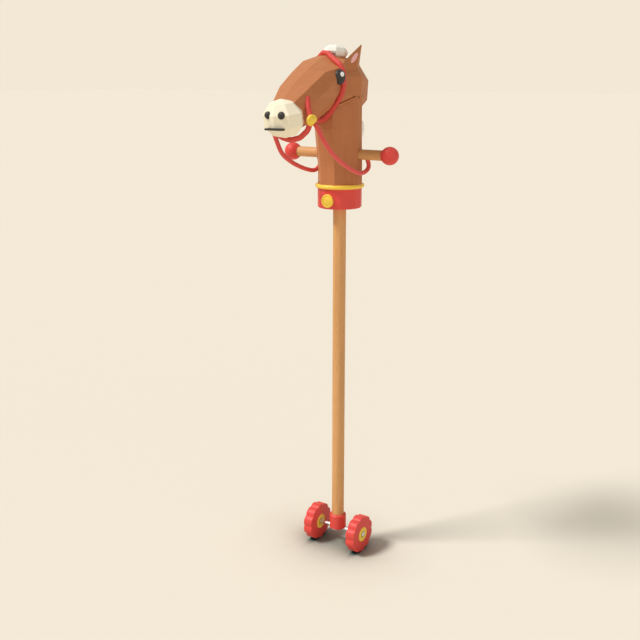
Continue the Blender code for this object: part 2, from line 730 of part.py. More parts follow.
def hand_bar():
    made = paint(bar("hand_bar"), DOWEL_WOOD)
    for side_name, side in SIDES:
        boolean(made, rein(f"{side_name}_rein_in_bar_cut", side_name, grow=GAP))
        place = (side * BALL_X, 0.0, 0.0)
        radii = (BALL_RADIUS, BALL_RADIUS, BALL_RADIUS)
        ball = ellipsoid(f"{side_name}_ball", place, radii, BALL_SEGMENTS, BALL_RINGS)
        boolean(ball, bar(f"bar_in_{side_name}_ball_cut", grow=GAP))
        smooth(paint(ball, RED))


# Head: the face and the skull as one block, with a seat cut for everything let into it.
FACE_TURN = (math.pi / 2 + FACE_PITCH, 0.0, 0.0)
ALONG_FACE = Vector((0.0, math.cos(FACE_PITCH), math.sin(FACE_PITCH)))
ACROSS_FACE = Vector((0.0, -math.sin(FACE_PITCH), math.cos(FACE_PITCH)))
NOSE_END = FACE_CENTRE - ALONG_FACE * FACE_FRONT_LENGTH
MUZZLE_CENTRE = NOSE_END + ALONG_FACE * MUZZLE_SET_BACK - ACROSS_FACE * MUZZLE_DROP
HEADSTALL_CENTRE = FACE_CENTRE + HEADSTALL_OFFSET
NOSEBAND_CENTRE = MUZZLE_CENTRE + NOSEBAND_OFFSET


def face(name):
    """One faceted section, shrunk towards both ends along a half ellipse. Its brows sink at the back."""
    bm = bmesh.new()
    tips = [bm.verts.new((0.0, y, 0.0)) for y in (-FACE_FRONT_LENGTH, FACE_BACK_LENGTH)]
    rings = []
    for ring in range(1, FACE_RINGS):
        share = ring / FACE_RINGS
        height = math.sin(math.pi * share)
        width = height**FACE_NARROWS
        length = FACE_FRONT_LENGTH if share < 0.5 else FACE_BACK_LENGTH
        brows = (LEFT_BROW_BACK, RIGHT_BROW_BACK) if share > 0.5 else (FACE_SECTION[1], FACE_SECTION[1])
        left, right = ([FACE_SECTION[0], brow, *FACE_SECTION[2:]] for brow in brows)
        outline = left + [(-x, up) for x, up in reversed(right[1:-1])]
        along = -length * math.cos(math.pi * share)
        rings.append([bm.verts.new((x * width, along, up * height)) for x, up in outline])
    count = len(outline)
    for k in range(count):
        after = (k + 1) % count
        bm.faces.new((tips[0], rings[0][k], rings[0][after]))
        bm.faces.new((tips[1], rings[-1][after], rings[-1][k]))
        for one, two in zip(rings, rings[1:]):
            bm.faces.new((one[k], two[k], two[after], one[after]))
    return show(name, bmesh_data(name, bm), location=FACE_CENTRE, rotation=(FACE_PITCH, 0.0, 0.0))


def muzzle(name, grow=0.0):
    turn = (MUZZLE_PITCH, 0.0, 0.0)
    return ellipsoid(name, MUZZLE_CENTRE, MUZZLE_RADII, MUZZLE_SEGMENTS, MUZZLE_RINGS, turn, grow)


def muzzle_dowel(name, grow=0.0):
    middle = MUZZLE_CENTRE + ALONG_FACE * MUZZLE_RADII[1]
    return cylinder(name, middle, DOWEL_RADIUS, DOWEL_LENGTH, SMALL_SEGMENTS, FACE_TURN, grow)


def nostril(name, side, grow=0.0):
    place = MUZZLE_CENTRE + mirrored(NOSTRIL_OFFSET, side)
    return ellipsoid(name, place, NOSTRIL_RADII, SMALL_SEGMENTS, SMALL_RINGS, grow=grow)


def mouth(name, grow=0.0):
    return box(name, MUZZLE_CENTRE + MOUTH_OFFSET, [s + 2 * grow for s in MOUTH_SIZE])


def eye(name, side, grow=0.0):
    turn = (0.0, 0.0, side * EYE_TURN)
    place = FACE_CENTRE + mirrored(EYE_OFFSET, side)
    return ellipsoid(name, place, EYE_RADII, SMALL_SEGMENTS, SMALL_RINGS, turn, grow)


def eye_light(name, side, grow=0.0):
    turn = (0.0, 0.0, side * EYE_TURN)
    place = FACE_CENTRE + mirrored(EYE_OFFSET + LIGHT_OFFSET, side)
    return ellipsoid(name, place, LIGHT_RADII, SMALL_SEGMENTS, SMALL_RINGS, turn, grow)


def ear_turn(side):
    return Euler((-EAR_LEAN, side * EAR_SPLAY, 0.0), "XYZ")


def ear_tip(side):
    return SKULL_CENTRE + mirrored(EAR_OFFSET, side)


def ear(name, side, grow=0.0):
    """A blunt four-sided cone, thin across and broad from front to back, whose origin is its tip."""
    bm = bmesh.new()
    bmesh.ops.create_cone(
        bm,
        cap_ends=True,
        segments=EAR_SIDES,
        radius1=1.0,
        radius2=EAR_BLUNT,
        depth=EAR_LENGTH + 2 * grow,
    )
    slope = grow * 1.5
    bmesh.ops.scale(bm, verts=bm.verts, vec=(EAR_THICKNESS / 2 + slope, EAR_WIDTH / 2 + slope, 1.0))
    bmesh.ops.translate(bm, verts=bm.verts, vec=(0.0, 0.0, -EAR_LENGTH / 2))
    return show(name, bmesh_data(name, bm), location=ear_tip(side), rotation=ear_turn(side))


def ear_inner(name, side, grow=0.0):
    """The pink inlay, a long oval on the ear's outer front face, leaning like its front edge."""
    ear_frame = ear_turn(side).to_matrix()
    half_thickness = EAR_THICKNESS / 2 * INNER_DOWN / EAR_LENGTH
    half_width = EAR_WIDTH / 2 * INNER_DOWN / EAR_LENGTH
    on_face = (side * half_thickness * (1.0 - INNER_FORWARD), -half_width * INNER_FORWARD, -INNER_DOWN)
    place = ear_tip(side) + ear_frame @ Vector(on_face)
    lean = Matrix.Rotation(-math.atan2(EAR_WIDTH / 2, EAR_LENGTH) * INNER_LEAN, 3, "X")
    facing = Matrix.Rotation(side * math.atan2(EAR_WIDTH, EAR_THICKNESS), 3, "Z")
    tilt = (ear_frame @ lean @ facing).to_euler()
    return ellipsoid(name, place, INNER_RADII, SMALL_SEGMENTS, SMALL_RINGS, tilt, grow)


def forelock(name, grow=0.0):
    middle = SKULL_CENTRE + FORELOCK_OFFSET
    turn = (FORELOCK_PITCH, 0.0, 0.0)
    return ellipsoid(name, middle, FORELOCK_RADII, LOCK_SEGMENTS, LOCK_RINGS, turn, grow)


def mane_lock(name, index, grow=0.0):
    y, height, lean = LOCKS[index]
    return ellipsoid(name, (0.0, y, height), LOCK_RADII, LOCK_SEGMENTS, LOCK_RINGS, (lean, 0.0, 0.0), grow)


def loop_point(centre, radii, tilt, angle):
    """A point of a strap's loop: the angle is 0 at the left side and a quarter turn at the top."""
    up = Vector((0.0, -math.sin(tilt), math.cos(tilt)))
    return centre + Vector((radii[0] * math.cos(angle), 0.0, 0.0)) + up * radii[1] * math.sin(angle)


def headstall(name, grow=0.0):
    turns = [2 * math.pi * k / STRAP_STEPS for k in range(STRAP_STEPS)]
    loop = [loop_point(HEADSTALL_CENTRE, HEADSTALL_RADII, HEADSTALL_TILT, a) for a in turns]
    return tube(name, loop, STRAP_RADIUS, STRAP_BEVEL_STEPS, cyclic=True, grow=grow)


def noseband(name, grow=0.0):
    """An open loop under the jaw, whose ends stand in blind holes in the cheeks."""
    sweep = math.pi + 2 * NOSEBAND_RISE
    steps = STRAP_STEPS - 2
    extra = grow / NOSEBAND_RADII[0]
    turns = [NOSEBAND_RISE + extra - (sweep + 2 * extra) * k / steps for k in range(steps + 1)]
    loop = []
    for angle in turns:
        above = max(0.0, math.sin(angle) / math.sin(NOSEBAND_RISE))
        radii = (NOSEBAND_RADII[0] * (1.0 - NOSEBAND_TUCK * above), NOSEBAND_RADII[1])
        loop.append(loop_point(NOSEBAND_CENTRE, radii, NOSEBAND_TILT, angle))
    return tube(name, loop, STRAP_RADIUS, STRAP_BEVEL_STEPS, grow=grow)


def medallion(name, side, grow=0.0):
    place = loop_point(NOSEBAND_CENTRE, NOSEBAND_RADII, NOSEBAND_TILT, -MEDALLION_DROP)
    turn = (0.0, side * MEDALLION_DROP, 0.0)
    return ellipsoid(name, mirrored(place, side), MEDALLION_RADII, BALL_SEGMENTS, SMALL_RINGS, turn, grow)


def rein_route(side_name):
    """The route by hand, then straight on towards the bar's axis and into the bar."""
    route = [Vector(p) for p in REIN_ROUTES[side_name]]
    last = route[-1]
    to_axis = Vector((0.0, -last.y, -last.z))
    end = last + to_axis.normalized() * (to_axis.length - BAR_RADIUS + REIN_INTO_BAR)
    return route + [(last + end) / 2, end]


def smooth_curve(route, step):
    """Points about one step apart on a smooth curve through the route's own points."""
    dense = [route[0]]
    for i in range(len(route) - 1):
        before = route[max(i - 1, 0)]
        after = route[min(i + 2, len(route) - 1)]
        here, there = route[i], route[i + 1]
        handles = (here + (there - before) / 6, there - (after - here) / 6)
        dense += interpolate_bezier(here, handles[0], handles[1], there, 12)[1:]
    gone = [0.0]
    for one, two in zip(dense, dense[1:]):
        gone.append(gone[-1] + (two - one).length)
    count = max(2, round(gone[-1] / step))
    points = []
    for k in range(count + 1):
        target = gone[-1] * k / count
        i = next((n for n in range(len(gone) - 1) if gone[n + 1] >= target), len(gone) - 2)
        share = (target - gone[i]) / (gone[i + 1] - gone[i])
        points.append(dense[i].lerp(dense[i + 1], min(share, 1.0)))
    return points


def rein(name, side_name, grow=0.0):
    points = smooth_curve(rein_route(side_name), REIN_STEP)
    if grow:
        start = (points[0] - points[1]).normalized()
        end = (points[-1] - points[-2]).normalized()
        points[0] = points[0] + start * grow
        points[-1] = points[-1] + end * grow
    return tube(name, points, REIN_RADIUS, REIN_BEVEL_STEPS, grow=grow)


def head_block():
    head = face("head_block")
    turn = (SKULL_PITCH, 0.0, 0.0)
    skull = ellipsoid("skull_cut", SKULL_CENTRE, SKULL_RADII, SKULL_SEGMENTS, SKULL_RINGS, turn)
    boolean(head, skull, "UNION")
    boolean(head, neck("neck_in_head_cut", grow=GAP))
    boolean(head, muzzle("muzzle_in_head_cut", grow=GAP))
    boolean(head, muzzle_dowel("dowel_in_head_cut", grow=GAP))
    boolean(head, forelock("forelock_in_head_cut", grow=GAP))
    boolean(head, headstall("headstall_in_head_cut", grow=GAP))
    boolean(head, noseband("noseband_in_head_cut", grow=GAP))
    for index in range(len(LOCKS)):
        boolean(head, mane_lock(f"lock_{index + 1}_in_head_cut", index, grow=GAP))
    for side_name, side in SIDES:
        boolean(head, eye(f"{side_name}_eye_in_head_cut", side, grow=GAP))
        boolean(head, ear(f"{side_name}_ear_in_head_cut", side, grow=GAP))
        boolean(head, medallion(f"{side_name}_medallion_in_head_cut", side, grow=GAP))
    return paint(head, HEAD_WOOD)


def muzzle_group():
    made = paint(muzzle("muzzle"), CREAM)
    boolean(made, muzzle_dowel("dowel_in_muzzle_cut", grow=GAP))
    boolean(made, mouth("mouth_in_muzzle_cut", grow=GAP))
    boolean(made, noseband("noseband_in_muzzle_cut", grow=GAP))
    smooth(paint(muzzle_dowel("muzzle_dowel"), DOWEL_WOOD))
    paint(mouth("mouth"), DARK)
    for side_name, side in SIDES:
        boolean(made, nostril(f"{side_name}_nostril_in_muzzle_cut", side, grow=GAP))
        boolean(made, medallion(f"{side_name}_medallion_in_muzzle_cut", side, grow=GAP))
        paint(nostril(f"{side_name}_nostril", side), DARK)


def face_details():
    for side_name, side in SIDES:
        eyeball = paint(eye(f"{side_name}_eye", side), DARK)
        boolean(eyeball, eye_light(f"{side_name}_light_in_eye_cut", side, grow=GAP))
        boolean(eyeball, headstall(f"headstall_in_{side_name}_eye_cut", grow=GAP))
        paint(eye_light(f"{side_name}_eye_light", side), WHITE)
        pointed = paint(ear(f"{side_name}_ear", side), HEAD_WOOD)
        boolean(pointed, ear_inner(f"{side_name}_inner_in_ear_cut", side, grow=GAP))
        boolean(pointed, forelock(f"forelock_in_{side_name}_ear_cut", grow=GAP))
        boolean(pointed, neck(f"neck_in_{side_name}_ear_cut", grow=GAP))
        boolean(pointed, headstall(f"headstall_in_{side_name}_ear_cut", grow=GAP))
        paint(ear_inner(f"{side_name}_ear_inner", side), PINK)


def hair():
    tuft = paint(forelock("forelock"), CREAM)
    boolean(tuft, headstall("headstall_in_forelock_cut", grow=GAP))
    for index in range(len(LOCKS)):
        lock = paint(mane_lock(f"mane_lock_{index + 1}", index), CREAM)
        above = forelock(f"forelock_in_lock_{index + 1}_cut", grow=GAP)
        if index:
            above = mane_lock(f"lock_above_{index + 1}_cut", index - 1, grow=GAP)
        boolean(lock, above)


def bridle():
    paint(headstall("headstall"), STRAP_RED)
    paint(noseband("noseband"), STRAP_RED)
    for side_name, side in SIDES:
        badge = paint(medallion(f"{side_name}_medallion", side), GOLD)
        boolean(badge, noseband(f"noseband_in_{side_name}_medallion_cut", grow=GAP))
        boolean(badge, rein(f"{side_name}_rein_in_medallion_cut", side_name, grow=GAP))
        paint(rein(f"{side_name}_rein", side_name), REIN_RED)


pole()
axle_socket()
axle()
axle_saddle()
saddle_screws()
wheels()
collar_group()
neck_block()
hand_bar()
head_block()
muzzle_group()
face_details()
hair()
bridle()
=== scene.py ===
# %% [markdown]
# # A wheeled hobby horse
# This notebook dresses a hobby horse: a faceted wooden head on a pole, a hand bar through its neck,
# a red bridle with two cord reins, and two lobed wheels at the foot of the pole.
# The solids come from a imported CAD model. What is right in them only gets a material. What is soft
# or round is modelled again here, in the place where the solid was.

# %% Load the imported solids
import json
import math

import bmesh
import bpy
from mathutils import Matrix, Vector
from mathutils.geometry import interpolate_bezier


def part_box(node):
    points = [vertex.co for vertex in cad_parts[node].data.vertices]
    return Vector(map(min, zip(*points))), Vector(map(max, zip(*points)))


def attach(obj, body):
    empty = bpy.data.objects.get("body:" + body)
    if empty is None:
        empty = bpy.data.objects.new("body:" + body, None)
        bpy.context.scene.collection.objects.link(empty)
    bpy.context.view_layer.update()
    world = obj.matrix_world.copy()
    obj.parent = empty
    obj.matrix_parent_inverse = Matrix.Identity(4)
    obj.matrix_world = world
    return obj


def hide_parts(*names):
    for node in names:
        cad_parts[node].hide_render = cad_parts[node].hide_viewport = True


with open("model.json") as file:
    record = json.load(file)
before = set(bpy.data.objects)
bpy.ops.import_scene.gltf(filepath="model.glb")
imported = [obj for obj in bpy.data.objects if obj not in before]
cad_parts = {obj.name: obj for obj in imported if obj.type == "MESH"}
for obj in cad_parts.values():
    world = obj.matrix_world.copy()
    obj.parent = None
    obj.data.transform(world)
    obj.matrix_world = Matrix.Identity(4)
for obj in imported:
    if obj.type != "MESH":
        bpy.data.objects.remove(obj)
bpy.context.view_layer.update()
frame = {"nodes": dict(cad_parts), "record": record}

# %% [markdown]
# ## The camera
# The photograph was taken from in front of the horse's left side, a little above its head, with a
# normal lens. The numbers come from lining up known corners of the object with the picture. A
# constraint could aim the camera, but two turns say the same and keep it level. All places are in
# metres, and the origin is in the middle of the hand bar.

# %% Add the camera
CAMERA_PLACE = (0.9061, -1.4243, 0.1357)
LOOK_DOWN = math.radians(15.212)
LOOK_ROUND = math.radians(33.730)
LENS = 50.0  # millimetres, on a picture this wide:
SENSOR_WIDTH = 36.0
bpy.ops.object.camera_add(
    location=CAMERA_PLACE,
    rotation=(math.pi / 2 - LOOK_DOWN, 0.0, LOOK_ROUND),
)
camera = bpy.context.object
camera.data.lens = LENS
camera.data.sensor_width = SENSOR_WIDTH
bpy.context.scene.camera = camera
bpy.context.scene.view_settings.view_transform = "Standard"
print("camera:", tuple(round(x, 3) for x in camera.location))

# %% [markdown]
# ## The reins, as cords
# A rein is a soft cord, fixed in the gold stud on the noseband, which hangs in a bow and is let into
# the underside of the hand bar. A curve object with a round bevel would give the shape. Here the
# mesh is a ring of points carried along a smooth curve, because each point can then have a UV for
# the braid: round the cord in the first number, and the distance along it, in metres, in the second.
# The ring keeps its turn from step to step, so that the cord doesn't twist.

# %% Curves and tubes
CURVE_POINTS = 12  # read from the curve between two points of a route


def smooth_curve(route, step):
    """Points about one step apart on a smooth curve through the route's own points."""
    dense = [route[0]]
    for i in range(len(route) - 1):
        before = route[max(i - 1, 0)]
        after = route[min(i + 2, len(route) - 1)]
        here, there = route[i], route[i + 1]
        handles = (here + (there - before) / 6, there - (after - here) / 6)
        dense += interpolate_bezier(here, *handles, there, CURVE_POINTS)[1:]
    gone = [0.0]
    for one, two in zip(dense, dense[1:]):
        gone.append(gone[-1] + (two - one).length)
    count = max(2, round(gone[-1] / step))
    points = []
    for k in range(count + 1):
        target = gone[-1] * k / count
        i = next((n for n in range(len(gone) - 1) if gone[n + 1] >= target), len(gone) - 2)
        share = (target - gone[i]) / (gone[i + 1] - gone[i])
        points.append(dense[i].lerp(dense[i + 1], min(share, 1.0)))
    return points


def tube(name, path, section, closed=False):
    """Carries a section of (sideways, outwards) points along a path, with a UV map in metres."""
    count, sides = len(path), len(section)
    heading = []
    for i in range(count):
        before = path[(i - 1) % count] if closed or i else path[i]
        after = path[(i + 1) % count] if closed or i < count - 1 else path[i]
        heading.append((after - before).normalized())
    side = heading[0].orthogonal().normalized()
    if abs(heading[0].x) < 0.9:
        side = heading[0].cross(Vector((1.0, 0.0, 0.0))).normalized()
    verts = []
    for point, ahead in zip(path, heading):
        side = (side - ahead * side.dot(ahead)).normalized()
        out = side.cross(ahead)
        verts += [point + side * a + out * b for a, b in section]
    faces, uvs = [], []
    gone = 0.0
    for i in range(count if closed else count - 1):
        after = (i + 1) % count
        length = (path[after] - path[i]).length
        for k in range(sides):
            right = (k + 1) % sides
            corners = (i * sides + k, i * sides + right, after * sides + right, after * sides + k)
            faces.append(corners)
            left, more = k / sides, (k + 1) / sides
            uvs += [(left, gone), (more, gone), (more, gone + length), (left, gone + length)]
        gone += length
    if not closed:
        first = list(range(sides))[::-1]
        last = [(count - 1) * sides + k for k in range(sides)]
        faces += [first, last]
        uvs += [(k / sides, 0.0) for k in first] + [(k / sides, gone) for k in range(sides)]
    data = bpy.data.meshes.new(name)
    data.from_pydata(verts, [], faces)
    layer = data.uv_layers.new(name="along")
    for spot, uv in zip(layer.data, uvs):
        spot.uv = uv
    data.shade_smooth()
    made = bpy.data.objects.new(name, data)
    bpy.context.scene.collection.objects.link(made)
    data.validate()
    return made, gone


def round_section(radius, sides):
    """The corners of a section with many even sides."""
    turns = [2 * math.pi * k / sides for k in range(sides)]
    return [(radius * math.cos(t), radius * math.sin(t)) for t in turns]


# %% Lay the two reins
REIN_RADIUS = 0.0041
REIN_SIDES = 16
REIN_STEP = 0.004  # between two rings of the mesh
BAR_RADIUS = 0.0095
REIN_INTO_BAR = 0.0036  # how deep the cord's end goes into the hand bar
REIN_ROUTES = {
    "left": (
        (0.0470, -0.1535, 0.0620), (0.0515, -0.1475, 0.0500), (0.0550, -0.1370, 0.0320),
        (0.0560, -0.1120, 0.0095), (0.0560, -0.0850, -0.0065), (0.0560, -0.0540, -0.0210),
        (0.0565, -0.0240, -0.0310), (0.0570, -0.0050, -0.0312), (0.0570, 0.0085, -0.0250),
        (0.0570, 0.0095, -0.0170),
    ),
    "right": (
        (-0.0470, -0.1535, 0.0620), (-0.0520, -0.1337, 0.0379), (-0.0550, -0.1100, 0.0067),
        (-0.0550, -0.0840, -0.0103), (-0.0540, -0.0506, -0.0240), (-0.0520, -0.0215, -0.0318),
        (-0.0508, -0.0050, -0.0320), (-0.0500, 0.0065, -0.0250), (-0.0500, 0.0080, -0.0170),
    ),
}
reins = []
for side_name, points in REIN_ROUTES.items():
    route = [Vector(p) for p in points]
    to_axis = Vector((0.0, -route[-1].y, -route[-1].z))
    end = route[-1] + to_axis.normalized() * (to_axis.length - BAR_RADIUS + REIN_INTO_BAR)
    path = smooth_curve(route + [(route[-1] + end) / 2, end], REIN_STEP)
    rein, length = tube(f"{side_name}_rein_cord", path, round_section(REIN_RADIUS, REIN_SIDES))
    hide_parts(f"{side_name}_rein")
    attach(rein, "horse")
    reins.append(rein)
    print(rein.name, "is", round(length, 4), "m long")

# %% [markdown]
# ## The floor and the light
# The floor is one wide pale sheet, and the sky behind it has the same colour, so the edge between
# them hardly shows. A curved backdrop would hide it too, but would catch the long shadow. The
# floor's colour has painted shade under the wheels, darker where a point sees less of its
# surroundings.
# A sun with a broad disc, high in front on the horse's right, throws the soft shadow behind its
# left side, an even sky fills the shadows, and a very broad, low lamp lifts the side that faces the
# camera. Each is written as its share of the light on a level surface.

# %% The floor
PALE = (0.888, 0.807, 0.665)
FLOOR_HEIGHT = -0.810
FLOOR_SIZE = 120.0
PAINTED_SHADE_REACH = 0.16  # how near a thing has to be for painted shade on the floor under it
PAINTED_SHADE_START = 0.34  # a point that sees no more than this share gets the darkest painted shade
# the colour of the painted shade at its darkest
PAINTED_SHADE_TONE = (0.03, 0.08, 0.07)
PAINTED_SHADE_SAMPLES = 16
bpy.ops.mesh.primitive_plane_add(size=FLOOR_SIZE, location=(0.0, 0.0, FLOOR_HEIGHT))
floor = bpy.context.object
floor.name = "floor"
floor_with_painted_shade = bpy.data.materials.new("pale_floor_with_painted_shade")
floor_with_painted_shade.use_nodes = True
floor_tree = floor_with_painted_shade.node_tree
floor_face = floor_tree.nodes["Principled BSDF"].inputs
floor_face["Roughness"].default_value = 0.9
floor_face["Specular IOR Level"].default_value = 0.0
# Painted shade: the floor's colour goes towards that tone where something close above hides its
# surroundings.
painted_shade_occlusion = floor_tree.nodes.new("ShaderNodeAmbientOcclusion")
painted_shade_occlusion.inputs["Distance"].default_value = PAINTED_SHADE_REACH
painted_shade_occlusion.samples = PAINTED_SHADE_SAMPLES
painted_shade_ramp = floor_tree.nodes.new("ShaderNodeMapRange")
painted_shade_ramp.inputs["From Min"].default_value = PAINTED_SHADE_START
painted_shade_colour = floor_tree.nodes.new("ShaderNodeMix")
painted_shade_colour.data_type = "RGBA"
painted_shade_colour.inputs[6].default_value = (*PAINTED_SHADE_TONE, 1.0)
painted_shade_colour.inputs[7].default_value = (*PALE, 1.0)
floor_tree.links.new(painted_shade_occlusion.outputs["AO"], painted_shade_ramp.inputs["Value"])
floor_tree.links.new(painted_shade_ramp.outputs[0], painted_shade_colour.inputs[0])
floor_tree.links.new(painted_shade_colour.outputs[2], floor_face["Base Color"])
floor.data.materials.append(floor_with_painted_shade)
print("floor:", FLOOR_HEIGHT, "m, under the middle of the hand bar")

# %% The sky
LIGHT_LEVEL = 1.065
SKY_SHARE = 0.33
world = bpy.data.worlds.new("pale_sky")
bpy.context.scene.world = world
world.use_nodes = True
sky = world.node_tree
sky.nodes.clear()
output = sky.nodes.new("ShaderNodeOutputWorld")
rays = sky.nodes.new("ShaderNodeLightPath")
seen = sky.nodes.new("ShaderNodeBackground")
seen.inputs["Color"].default_value = (*PALE, 1.0)
lit = sky.nodes.new("ShaderNodeBackground")
lit.inputs["Strength"].default_value = SKY_SHARE * LIGHT_LEVEL
direct = sky.nodes.new("ShaderNodeMath")
either = sky.nodes.new("ShaderNodeMath")
direct.operation = either.operation = "MAXIMUM"
chosen = sky.nodes.new("ShaderNodeMixShader")
for start, end in (
    (rays.outputs["Is Camera Ray"], direct.inputs[0]),
    (rays.outputs["Is Transmission Ray"], direct.inputs[1]),
    (direct.outputs[0], either.inputs[0]),
    (rays.outputs["Is Glossy Ray"], either.inputs[1]),
    (either.outputs[0], chosen.inputs[0]),
    (lit.outputs[0], chosen.inputs[1]),
    (seen.outputs[0], chosen.inputs[2]),
    (chosen.outputs[0], output.inputs["Surface"]),
):
    sky.links.new(start, end)
print("sky:", round(SKY_SHARE * LIGHT_LEVEL, 3))

# %% The two lamps
SUN_DIRECTION = Vector((-0.4556, -0.4732, 0.8370)).normalized()
SUN_WIDTH = 15.0
FILL_DIRECTION = Vector((0.8500, -0.5000, 0.1700)).normalized()
FILL_WIDTH = 80.0
FILL_SHARE = 0.04
LAMP_DISTANCE = 3.0


def add_lamp(name, direction, width, share):
    """A far lamp whose disc is some degrees wide, which gives a share of the light on the floor."""
    bpy.ops.object.light_add(type="SUN", location=direction * LAMP_DISTANCE)
    lamp = bpy.context.object
    lamp.name = name
    lamp.rotation_euler = direction.to_track_quat("Z", "Y").to_euler()
    lamp.data.angle = math.radians(width)
    lamp.data.energy = share * LIGHT_LEVEL * math.pi / direction.z
    print(name, round(lamp.data.energy, 3))


add_lamp("sun", SUN_DIRECTION, SUN_WIDTH, 1.0 - SKY_SHARE - FILL_SHARE)
add_lamp("fill", FILL_DIRECTION, FILL_WIDTH, FILL_SHARE)

# %% [markdown]
# ## Modelling by hand, in code
# The rigid pieces are made with a modeller's tools: add a primitive, open it in edit mode, select,
# extrude, inset, bevel, spin. A mesh could be listed point by point, but the tools say how it was
# made. `open_new` starts a piece, `choose` selects by place, `scale_all` stretches all of it, and
# `close_piece` finishes it: what meets is merged, and the faces point outwards.

# %% Start, choose and close
ORIGIN = (0.0, 0.0, 0.0)
MERGE = 0.000002  # points nearer than this are one
ROUND_EDGE = 35.0  # degrees: a round piece is smooth where its faces meet at less
new_pieces = {}


def open_new(add, name, **settings):
    """Adds a primitive with nothing else selected, and opens it in edit mode."""
    bpy.ops.object.select_all(action="DESELECT")
    add(**settings)
    piece = bpy.context.object
    piece.name = name
    piece.data.name = name
    bpy.ops.object.mode_set(mode="EDIT")
    bpy.ops.mesh.select_mode(type="VERT")
    return piece


def choose(piece, kind, test):
    """Selects the verts, edges or faces that pass a test, and nothing else."""
    bpy.ops.mesh.select_mode(type={"verts": "VERT", "edges": "EDGE", "faces": "FACE"}[kind])
    bpy.ops.mesh.select_all(action="DESELECT")
    work = bmesh.from_edit_mesh(piece.data)
    for item in getattr(work, kind):
        if test(item):
            item.select_set(True)
    work.select_flush_mode()
    bmesh.update_edit_mesh(piece.data)


def scale_all(size):
    """Stretches all of the piece that is open, about the origin."""
    bpy.ops.mesh.select_all(action="SELECT")
    bpy.ops.transform.resize(value=size, center_override=ORIGIN)


def close_piece(piece, place, edge=ROUND_EDGE):
    """Merges, turns outwards, puts in place, and smooths edges of less than `edge` degrees."""
    bpy.ops.mesh.select_all(action="SELECT")
    bpy.ops.mesh.remove_doubles(threshold=MERGE)
    bpy.ops.mesh.normals_make_consistent(inside=False)
    bpy.ops.object.mode_set(mode="OBJECT")
    piece.matrix_world = place
    bpy.ops.object.transform_apply(location=True, rotation=True, scale=True)
    bpy.ops.object.shade_smooth_by_angle(angle=math.radians(edge))
    work = bmesh.new()
    work.from_mesh(piece.data)
    gaps = sum(not line.is_manifold for line in work.edges)
    work.free()
    print(piece.name, "has", len(piece.data.polygons), "faces and", gaps, "open edges")


def copy_of(piece, name, move):
    """The same piece once more, with a mesh of its own, moved or turned."""
    bpy.ops.object.select_all(action="DESELECT")
    piece.select_set(True)
    bpy.context.view_layer.objects.active = piece
    bpy.ops.object.duplicate(linked=False)
    twin = bpy.context.object
    twin.name = name
    twin.data.name = name
    twin.matrix_world = move
    bpy.ops.object.transform_apply(location=True, rotation=True, scale=True)
    return twin


def settle(piece, node, slot, body="horse"):
    """Puts a piece in the place of a CAD node, on the body that carries it."""
    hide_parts(node)
    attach(piece, body)
    new_pieces[piece] = slot


# %% [markdown]
# ## The carved head
# The head is glued up from two blocks, a long face and a round skull, and carved in flat facets. It
# could be cut from a cube by many planes, but no facet could then be moved by itself. A sphere has
# the same net of facets as the face: ten round its section and eight from the nose to the crown. So
# the face starts as a sphere, and each of its points is moved to where the knife left it.

# %% Carve the face
FACE_MIDDLE = Vector((0.0, -0.0900, 0.1200))
FACE_PITCH = math.radians(27.8)
FACE_FRONT = 0.1241
FACE_BACK = 0.1080
FACE_RINGS = 8
FACE_CORNERS = 10
FACE_NARROWS = 1.3
FACE_SECTION = (
    (0.0, 0.0354), (0.0355, 0.0292), (0.0445, 0.0050),
    (0.0390, -0.0220), (0.0230, -0.0420), (0.0, -0.0490),
)
LEFT_BROW = (0.0448, 0.0182)  # that section's second corner, behind the face's middle
RIGHT_BROW = (0.0405, 0.0320)  # the same corner on the right, where the carver left it higher
FACET_EDGE = 5.0  # degrees: flat facets meet at more


def face_point(ring, corner):
    """A corner as (x, up, towards the nose). Corners run from the forehead down the left side."""
    share = ring / FACE_RINGS
    height = math.sin(math.pi * share)
    on_left = corner <= FACE_CORNERS // 2
    row = corner if on_left else FACE_CORNERS - corner
    x, up = FACE_SECTION[row]
    if row == 1 and share > 0.5:
        x, up = LEFT_BROW if on_left else RIGHT_BROW
    length = FACE_FRONT if share < 0.5 else FACE_BACK
    side = 1.0 if on_left else -1.0
    return Vector((side * x * height**FACE_NARROWS, up * height, length * math.cos(math.pi * share)))


def ring_and_corner(place):
    """Which ring and which corner of it a point of the sphere is. The poles have one corner."""
    ring = round(math.acos(max(-1.0, min(1.0, place.z))) / math.pi * FACE_RINGS)
    if ring in (0, FACE_RINGS):
        return ring, 0
    turn = math.atan2(place.y, place.x) / (2 * math.pi) * FACE_CORNERS
    return ring, (2 - math.floor(turn)) % FACE_CORNERS


def facet_ball(name, corners, rings):
    """A ball of flat facets, 1 metre from its middle to its poles."""
    sizes = {"segments": corners, "ring_count": rings, "radius": 1.0}
    return open_new(bpy.ops.mesh.primitive_uv_sphere_add, name, **sizes)


head = facet_ball("head", FACE_CORNERS, FACE_RINGS)
moves = {}
for point in bmesh.from_edit_mesh(head.data).verts:
    moves[point.index] = face_point(*ring_and_corner(point.co)) - point.co
for index, move in moves.items():
    choose(head, "verts", lambda v: v.index == index)
    bpy.ops.transform.translate(value=move)
nose_down = Matrix.Rotation(FACE_PITCH, 4, "X") @ Matrix.Rotation(math.pi / 2, 4, "X")
close_piece(head, Matrix.Translation(FACE_MIDDLE) @ nose_down, FACET_EDGE)

# %% [markdown]
# ## The skull, the neck's room and the saw cut
# The skull is a stretched sphere of few facets, glued on behind the face. The neck goes up into the
# head with a little air round it, which shows as a dark crease, and a short saw cut marks where the
# jaw ends above it. Both could be painted on, but a real gap stays dark from every side. So a wider
# copy of the neck and a thin board are cut out of the head, and then its edges are softened.

# %% Join and cut
SKULL_MIDDLE = Vector((0.0, -0.0050, 0.1192))
SKULL_RADII = (0.0510, 0.0686, 0.0570)
SKULL_PITCH = math.radians(-6.0)


